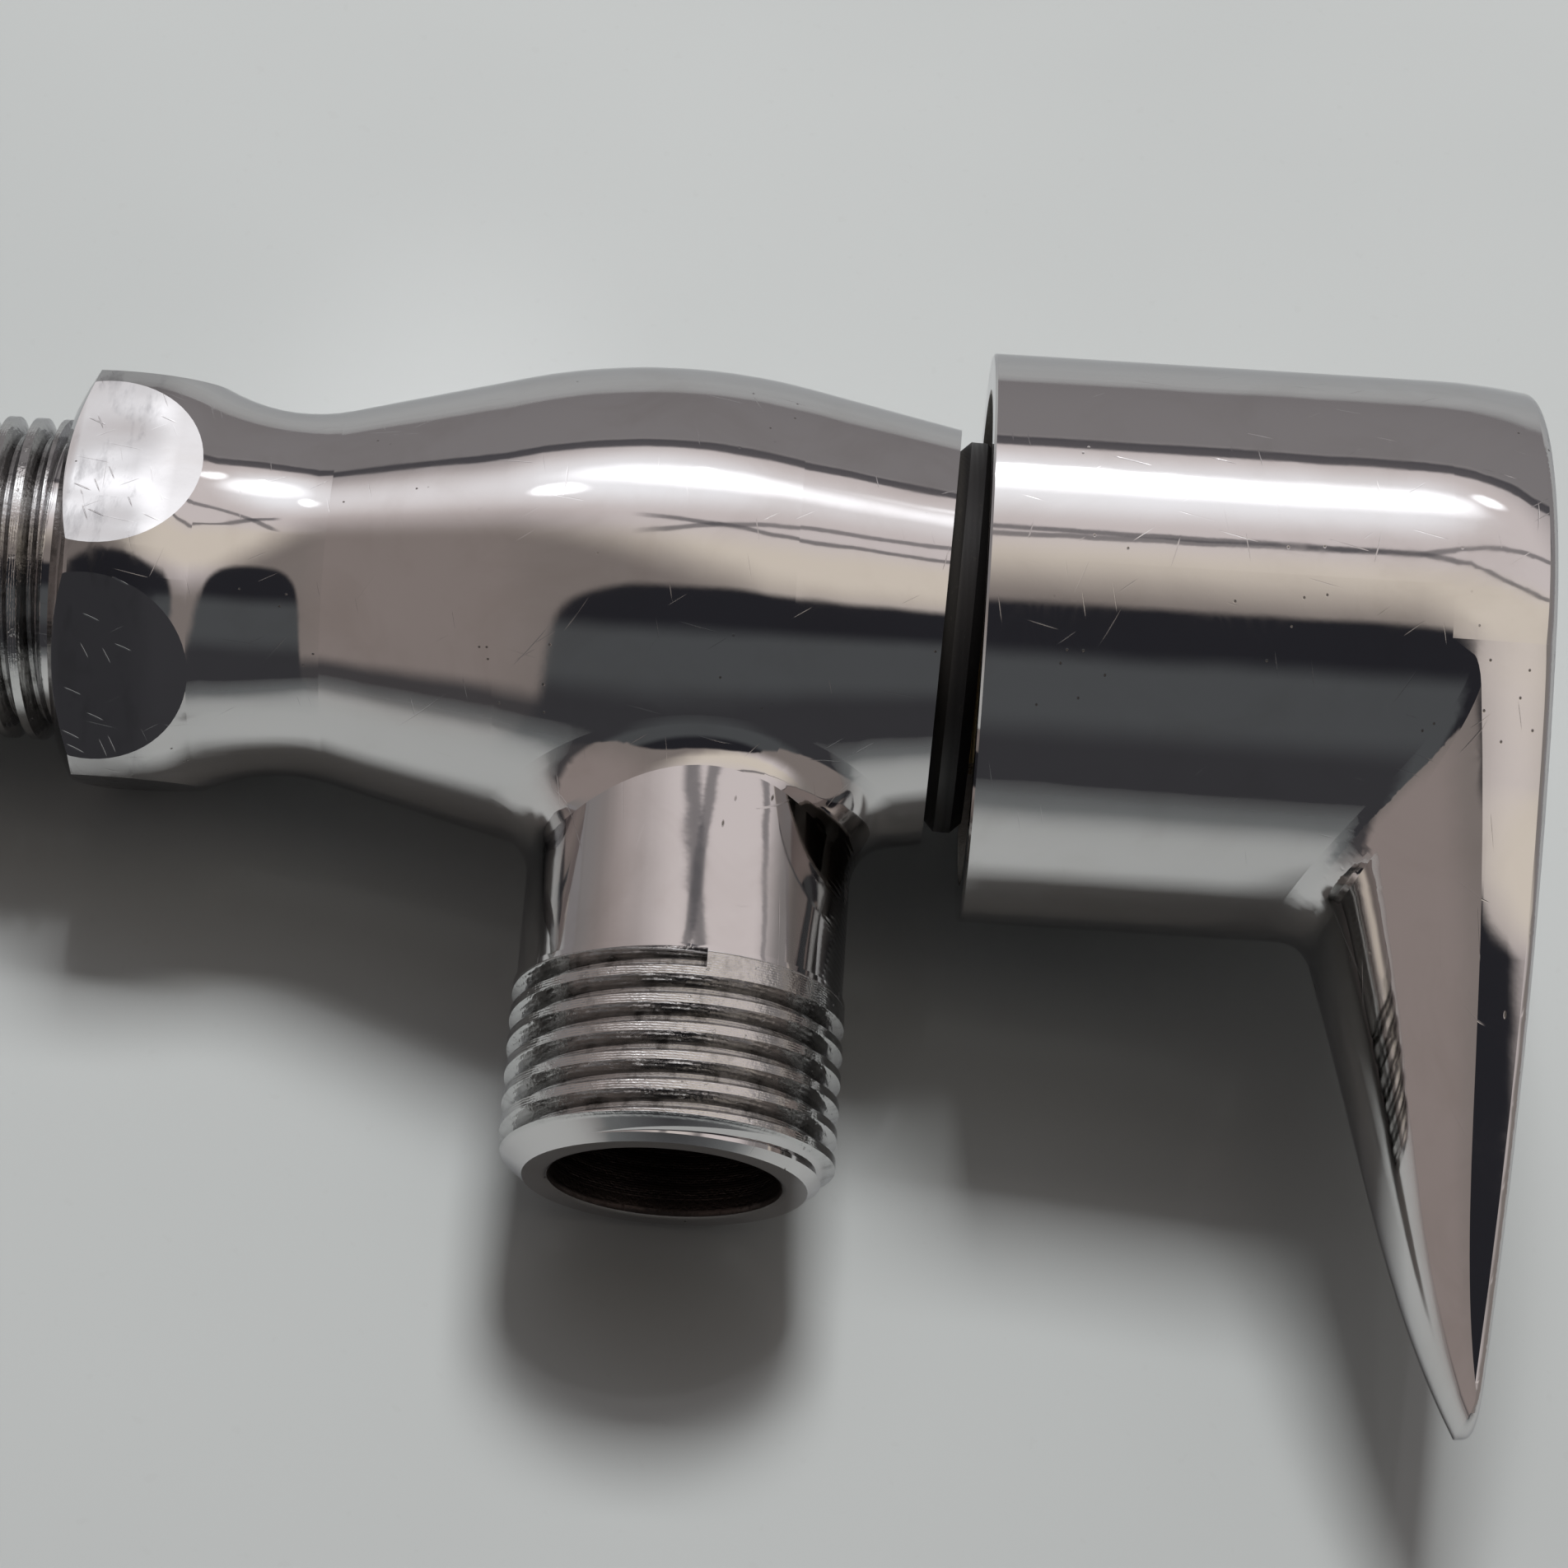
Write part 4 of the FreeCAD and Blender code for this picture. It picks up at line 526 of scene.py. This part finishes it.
def valveBodyLook(setup):
    look = Look("chromedBody")
    colour, rough, normal = chromeSurface(look, setup)
    fromInlet = look.fromAxis()
    fromOutlet = ((look.x - setup["outletX"]) ** 2.0 + look.y ** 2.0) ** 0.5
    # wrench flats: a grey rub along each, and the short slanted strokes that the jaws left
    onHex = look.step(look.x, *setup["hexFrom"]) * look.fall(look.x, *setup["hexTo"])
    wrap = look.rolled(setup["hexUnrolledAt"])
    smudge = look.noise(look.turn(wrap, (0, 0, 14), (1.0, 0.35, 1.0)), 1.6 * mm, 4.0, 0.62)
    rub = look.step(smudge, 0.50, 0.70) * onHex
    jaw = look.strokes(wrap, 66, 0.9 * mm, 16.0, 0.050)
    jaw = jaw.do("MAXIMUM", look.strokes(wrap, 24, 1.3 * mm, 12.0, 0.045)) * onHex
    dish = look.noise(look.turn(look.place, (0, 0, 0), (0.6, 1.0, 1.0)), 4.5 * mm, 1.0)
    colour = look.mix(onHex * (rub * 0.45 + 0.35), colour, setup["rubbed"])
    rough = rough + rub * 0.12 + jaw * 0.12 + onHex * 0.02
    normal = look.bump(jaw * -1.0 - rub * 0.15, 0.010 * mm, normal)
    normal = look.bump(dish * onHex, 0.16 * mm, normal)
    # turned end face that the dust ring lies on
    onEnd = look.step(look.facingX, 0.80, 0.93) * look.step(look.x, *setup["endFrom"])
    rings = look.latheRings(setup["endRings"], 3.0) * onEnd
    colour = look.mix(onEnd * (rings * 0.35 + 0.25), colour, setup["endTint"])
    rough = rough + onEnd * (rings * 0.10 + 0.06)
    normal = look.bump(rings, 0.010 * mm, normal)
    # lathe lines round each thread, painted shade in its grooves deepened by grime, and the nicks
    # that the die left;
    # the chamfer at the outlet's mouth is polished again
    inlet = look.fall(look.x, *setup["inletEnds"])
    outlet = look.fall(look.z, *setup["outletStarts"])
    cut = inlet.do("MAXIMUM", outlet * look.step(look.z, *setup["mouth"]))
    chatter = look.noise(look.turn(look.place, (0, 0, 0), (1.0, 0.25, 1.0)), 0.35 * mm, 3.0, 0.6)
    turned = (look.x * inlet + look.z * outlet) * (fullTurn / setup["threadLines"])
    lathe = (turned + chatter * 5.0).wave()
    grime = look.patches(1.3 * mm, 0.48, 0.75, 4.0, 0.65)
    depth = (fromInlet * inlet + fromOutlet * (1.0 - inlet)) / setup["threadRound"]
    low = look.fall(depth, 0.905, 0.965)
    nick = look.patches(0.55 * mm, 0.64, 0.70, 3.0, 0.7) * (1.0 - low)
    metal = look.mix(grime * 0.8, setup["thread"], setup["threadDark"])
    # painted shade: the roots of the threads are darkened everywhere, more where grime lies
    metal = look.mix(low * (grime * 0.5 + 0.35), metal, setup["groove"])
    dull = grime * 0.12 + lathe * 0.05 + nick * 0.14 + low * 0.10 + 0.045
    colour = look.mix(cut, colour, metal)
    rough = rough * (1.0 - cut) + dull * cut
    normal = look.bump(lathe * cut, 0.006 * mm, normal)
    normal = look.bump((chatter - nick * 0.8) * cut, 0.03 * mm, normal)
    # inside of the ways: painted shade, a dark brownish colour standing in for the shadow in the
    # bores, with the drill's rings
    way = look.fall(fromInlet, *setup["wayRound"]) * look.fall(look.x, *setup["wayEnds"])
    wayDown = look.fall(fromOutlet, *setup["wayRound"]) * look.fall(look.z, *setup["wayDownEnds"])
    inner = way.do("MAXIMUM", wayDown)
    deep = (look.x * way + look.z * wayDown) * (fullTurn / setup["drillRings"])
    drill = (deep + chatter * 9.0).wave()
    colour = look.mix(inner, colour, look.mix(drill * 0.6, setup["boreShade"], setup["boreShadeDark"]))
    rough = rough * (1.0 - inner) + (drill * 0.15 + 0.38) * inner
    normal = look.bump(drill * inner, 0.015 * mm, normal)
    return look.finish(colour, rough, 1.0, normal, {"Specular Tint": setup["grazing"]})


dress("valve_body", valveBodyLook(bodySetup))
print("valve body dressed")


# Handle: one polished casting, more handled than the body; its hollow is left as cast.

handleLow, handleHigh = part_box("handle")

handleSetup = {
    "chrome": (0.75, 0.735, 0.73),
    "chromeWarm": (0.68, 0.66, 0.645),
    "grazing": (0.66, 0.66, 0.68),
    "polish": 0.03,
    "wear": 1.3,
    "hollow": (0.42, 0.40, 0.37),
    "hollowDark": (0.30, 0.28, 0.25),
    "hollowRound": (16.1 * mm, 16.2 * mm),
    "hollowEnds": (86.4 * mm, 86.5 * mm),
    "bendFrom": handleHigh.x - 8.65 * mm,
    "bendDeep": 17.0,
    "leverFrom": (-24.0 * mm, -14.0 * mm),
    "ridges": 90.0,
    "stainAt": (handleLow.x + 1.2 * mm, -13.0 * mm, 3.6 * mm),
    "stainSize": (0.7 * mm, 1.9 * mm),
    "stainRagged": 1.6 * mm,
    "stain": (0.62, 0.50, 0.30),
}


def handleLook(setup):
    look = Look("chromedHandle")
    colour, rough, normal = chromeSurface(look, setup)
    inside = (look.fall(look.fromAxis(), *setup["hollowRound"])
              * look.fall(look.x, *setup["hollowEnds"]))
    sand = look.noise(look.place, 0.25 * mm, 4.0, 0.6)
    colour = look.mix(inside, colour, look.mix(sand, setup["hollow"], setup["hollowDark"]))
    rough = rough * (1.0 - inside) + (sand * 0.25 + 0.30) * inside
    normal = look.bump(sand * inside, 0.04 * mm, normal)
    # polishing has softened the last stretch before the front, more and more towards the edge,
    # and the lever less than the barrel
    bend = (look.x - setup["bendFrom"]).do("MAXIMUM", 0.0)
    softer = 1.0 - look.fall(look.z, *setup["leverFrom"]) * 0.7
    bent = bend * bend * -setup["bendDeep"] * softer * (1.0 - inside)
    normal = look.bump(bent, 1.0, normal)
    # fingerprints, greasy and dull, on the barrel's crown and on the lever
    ridge = (look.noise(look.place, 6.0 * mm, 2.0, 0.5, 1.0) * setup["ridges"]).wave()
    touched = look.patches(14 * mm, 0.55, 0.66, 2.0) * (1.0 - inside)
    rough = rough + touched * (ridge * 0.030 + 0.012)
    # water stain by the rim
    spot = look.add("ShaderNodeVectorMath", {"operation": "DISTANCE"},
                    {0: look.place, 1: setup["stainAt"]}, "Value")
    ragged = (look.noise(look.place, 1.2 * mm) - 0.5) * setup["stainRagged"]
    blot = look.fall(spot + ragged, *setup["stainSize"]) * 0.5
    colour = look.mix(blot, colour, setup["stain"])
    rough = rough + blot * 0.12
    return look.finish(colour, rough, 1.0, normal, {"Specular Tint": setup["grazing"]})


dress("handle", handleLook(handleSetup))
print("handle dressed")


# Cap in the handle's front: the same chrome, with a fine spun sheen on its face.

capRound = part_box("index_cap")[1].z

capSetup = {
    "chrome": (0.73, 0.72, 0.715),
    "chromeWarm": (0.67, 0.655, 0.64),
    "grazing": (0.66, 0.66, 0.68),
    "polish": 0.045,
    "wear": 1.1,
    "spun": 0.22 * mm,
    "rimFrom": (capRound - 0.7 * mm, capRound),
    "rim": (0.40, 0.37, 0.33),
}


def capLook(setup):
    look = Look("chromedCap")
    colour, rough, normal = chromeSurface(look, setup)
    spun = look.latheRings(setup["spun"], 2.2)
    rim = look.step(look.fromAxis(), *setup["rimFrom"])
    colour = look.mix(rim * 0.25, colour, setup["rim"])
    rough = rough + spun * 0.05 + rim * 0.05
    normal = look.bump(spun, 0.0025 * mm, normal)
    return look.finish(colour, rough, 1.0, normal, {"Specular Tint": setup["grazing"]})


dress("index_cap", capLook(capSetup))
print("cap dressed")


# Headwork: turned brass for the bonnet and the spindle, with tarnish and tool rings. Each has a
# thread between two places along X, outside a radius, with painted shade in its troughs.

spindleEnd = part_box("spindle")[1].x

brassSetup = {
    "bonnet": {
        "bright": (0.72, 0.53, 0.26), "tarnish": (0.40, 0.26, 0.11), "rings": 0.30 * mm,
        "thread": (44.0 * mm, 54.0 * mm), "pitch": 1.0 * mm,
        "threadRound": 9.8 * mm},
    "spindle": {
        "bright": (0.74, 0.57, 0.31), "tarnish": (0.46, 0.31, 0.15), "rings": 0.22 * mm,
        "thread": (spindleEnd - 9.5 * mm, spindleEnd), "pitch": 0.8 * mm,
        "threadRound": 4.0 * mm},
}
brassWearAndShade = {"spot": (0.20, 0.12, 0.06), "groove": (0.16, 0.10, 0.045)}


def brassLook(name, setup):
    look = Look("turnedBrass_" + name)
    rings = look.latheRings(setup["rings"], 3.5)
    age = look.patches(5 * mm, 0.42, 0.72, 5.0, 0.62)
    spots = look.patches(0.8 * mm, 0.62, 0.70, 3.0, 0.6)
    start, end = setup["thread"]
    zone = (look.step(look.x, start, start + 0.2 * mm) * look.fall(look.x, end - 0.2 * mm, end)
            * look.step(look.fromAxis(), setup["threadRound"] - 0.1 * mm, setup["threadRound"]))
    helix = (look.x * (fullTurn / setup["pitch"]) + look.angle()).wave()
    colour = look.mix(age * 0.75, setup["bright"], setup["tarnish"])
    colour = look.mix(spots * 0.5, colour, brassWearAndShade["spot"])
    # painted shade: the troughs of each thread are darkened
    colour = look.mix(zone * (1.0 - helix) * 0.7, colour, brassWearAndShade["groove"])
    rough = age * 0.18 + rings * 0.08 + spots * 0.15 + 0.20
    normal = look.bump(rings * (1.0 - zone), 0.008 * mm)
    normal = look.bump(helix * zone, 0.35 * mm, normal)
    return look.finish(colour, rough, 1.0, normal)


for name, setup in brassSetup.items():
    dress(name, brassLook(name, setup))
print("brass headwork dressed")


# Steel: the screw, its lock washer, the spindle's top washer and the circlip.

steelSetup = {
    "handle_screw": {
        "bright": (0.58, 0.58, 0.585), "dull": (0.36, 0.35, 0.34),
        "rings": 0.35 * mm, "rust": 0.35},
    "lock_washer": {
        "bright": (0.54, 0.54, 0.55), "dull": (0.33, 0.32, 0.31),
        "rings": 0.28 * mm, "rust": 0.30},
    "top_washer": {
        "bright": (0.60, 0.60, 0.60), "dull": (0.40, 0.39, 0.38),
        "rings": 0.25 * mm, "rust": 0.12},
    "circlip": {
        "bright": (0.30, 0.29, 0.28), "dull": (0.14, 0.13, 0.125),
        "rings": 0.20 * mm, "rust": 0.18},
}
steelWear = {"unrolledAt": 5 * mm, "rust": (0.22, 0.09, 0.03)}


def steelLook(name, setup):
    look = Look("steel_" + name)
    rings = look.latheRings(setup["rings"], 3.0)
    marks = look.strokes(look.rolled(steelWear["unrolledAt"]), 30, 0.6 * mm, 14.0, 0.06)
    dull = look.patches(1.6 * mm, 0.40, 0.70, 5.0, 0.6)
    rust = look.patches(1.1 * mm, 0.60, 0.74, 5.0, 0.65) * setup["rust"]
    colour = look.mix(dull, setup["bright"], setup["dull"])
    colour = look.mix(rust, colour, steelWear["rust"])
    rough = dull * 0.16 + rings * 0.07 + rust * 0.6 + marks * 0.10 + 0.20
    normal = look.bump(rings - marks, 0.006 * mm)
    normal = look.bump(rust, 0.02 * mm, normal)
    return look.finish(colour, rough, 0.96, normal)


for name, setup in steelSetup.items():
    dress(name, steelLook(name, setup))
print("steel pieces dressed")


# Ceramic discs: fired alumina, lapped to a mirror where they slide, with a faint wear ring.

ceramicSetup = {
    "fixed_disc": {
        "body": (0.84, 0.82, 0.77), "fleck": (0.62, 0.58, 0.52),
        "slides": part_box("fixed_disc")[1].x},
    "moving_disc": {
        "body": (0.87, 0.86, 0.83), "fleck": (0.66, 0.63, 0.58),
        "slides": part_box("moving_disc")[0].x},
}
discWear = {"rings": 0.9 * mm, "tint": (0.55, 0.53, 0.50), "refraction": 1.76}


def ceramicLook(name, setup):
    look = Look("ceramic_" + name)
    grain = look.noise(look.place, 0.12 * mm, 3.0, 0.6)
    fleck = look.patches(0.45 * mm, 0.66, 0.72, 2.0)
    lapped = look.near(look.x, setup["slides"], 0.03 * mm, 0.06 * mm)
    path = (look.fromAxis() * (fullTurn / discWear["rings"]) + grain * 2.0).wave()
    colour = look.mix(grain * 0.25 + fleck * 0.5, setup["body"], setup["fleck"])
    colour = look.mix(lapped * path * 0.22, colour, discWear["tint"])
    rough = (1.0 - lapped) * (grain * 0.2 + 0.32) + lapped * (path * 0.06 + 0.06)
    normal = look.bump(grain * (1.0 - lapped), 0.015 * mm)
    return look.finish(colour, rough, 0.0, normal, {"IOR": discWear["refraction"]})


for name, setup in ceramicSetup.items():
    dress(name, ceramicLook(name, setup))
print("ceramic discs dressed")


# Rubber seals: near black, greased where they slide, with the mould's flash line in the middle.

rubberSetup = {
    "bonnet_seal": {"tint": (0.030, 0.030, 0.032), "bloom": (0.085, 0.083, 0.080), "grease": 0.2},
    "seat_seal": {"tint": (0.034, 0.033, 0.033), "bloom": (0.095, 0.090, 0.085), "grease": 0.4},
    "o_ring_inner": {"tint": (0.026, 0.026, 0.028), "bloom": (0.075, 0.073, 0.070), "grease": 0.8},
    "o_ring_outer": {"tint": (0.026, 0.026, 0.028), "bloom": (0.075, 0.073, 0.070), "grease": 0.8},
}


def rubberLook(name, setup):
    look = Look("rubber_" + name)
    low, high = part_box(name)
    grain = look.noise(look.place, 0.09 * mm, 3.0, 0.6)
    bloom = look.patches(1.5 * mm, 0.46, 0.72, 5.0, 0.65)
    seam = look.near(look.x, (low.x + high.x) / 2, 0.02 * mm, 0.06 * mm)
    film = look.patches(2.5 * mm, 0.45, 0.6, 2.0) * setup["grease"]
    colour = look.mix(bloom * 0.8 + seam * 0.2, setup["tint"], setup["bloom"])
    rough = grain * 0.10 + 0.52 - film * 0.30
    normal = look.bump(grain, 0.010 * mm)
    normal = look.bump(seam, 0.03 * mm, normal)
    return look.finish(colour, rough, 0.0, normal)


for name, setup in rubberSetup.items():
    dress(name, rubberLook(name, setup))
print("seals dressed")


# White plastic: moulded, a little yellowed, with flow marks, scuffs and a trace of grease.

plasticSetup = {
    "seat_spacer": {"tint": (0.78, 0.77, 0.72), "aged": (0.66, 0.60, 0.47)},
    "driver": {"tint": (0.80, 0.795, 0.76), "aged": (0.68, 0.63, 0.52)},
    "shoulder_washer": {"tint": (0.74, 0.735, 0.71), "aged": (0.60, 0.56, 0.48)},
    "spline_bush": {"tint": (0.79, 0.785, 0.75), "aged": (0.66, 0.62, 0.52)},
}
plasticWear = {"unrolledAt": 6 * mm, "grease": (0.36, 0.33, 0.27)}


def plasticLook(name, setup):
    look = Look("plastic_" + name)
    drawn = look.turn(look.place, (0, 20, 0), (0.35, 1.0, 1.0))
    flow = look.noise(drawn, 2.2 * mm, 4.0, 0.55, 0.8)
    spark = look.noise(look.place, 0.11 * mm, 2.0)
    marks = look.strokes(look.rolled(plasticWear["unrolledAt"]), 65, 0.7 * mm, 18.0, 0.05)
    grease = look.patches(1.4 * mm, 0.60, 0.75, 4.0, 0.6)
    colour = look.mix(look.step(flow, 0.40, 0.70) * 0.7, setup["tint"], setup["aged"])
    colour = look.mix(grease * 0.3 + marks * 0.25, colour, plasticWear["grease"])
    rough = flow * 0.12 + marks * 0.15 + 0.32
    normal = look.bump(spark, 0.006 * mm)
    normal = look.bump(marks * -1.0, 0.010 * mm, normal)
    return look.finish(colour, rough, 0.0, normal)


for name, setup in plasticSetup.items():
    dress(name, plasticLook(name, setup))
print("white plastic dressed")


# Dust ring between body and handle: black plastic, matte, rubbed to a half shine on its bevel.

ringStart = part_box("dust_ring")[0].x

ringSetup = {
    "black": (0.022, 0.021, 0.021),
    "rubbed": (0.060, 0.056, 0.052),
    "dust": (0.22, 0.20, 0.17),
    "bevelEnds": (ringStart + 0.84 * mm, ringStart + 1.34 * mm),
    "mouldRings": 0.35 * mm,
}


def dustRingLook(setup):
    look = Look("blackRing")
    grain = look.noise(look.place, 0.10 * mm, 3.0, 0.6)
    bevel = look.fall(look.x, *setup["bevelEnds"])
    mould = look.latheRings(setup["mouldRings"], 4.0)
    dust = look.patches(0.7 * mm, 0.58, 0.74, 5.0, 0.7)
    lint = look.patches(0.22 * mm, 0.74, 0.78, 2.0)
    colour = look.mix(bevel * 0.7, setup["black"], setup["rubbed"])
    colour = look.mix(dust * 0.16 + lint * 0.2, colour, setup["dust"])
    rough = grain * 0.10 + dust * 0.12 + mould * 0.05 + 0.42 - bevel * 0.14
    normal = look.bump(grain, 0.008 * mm)
    normal = look.bump(mould, 0.004 * mm, normal)
    return look.finish(colour, rough, 0.0, normal)


dress("dust_ring", dustRingLook(ringSetup))
print("dust ring dressed")
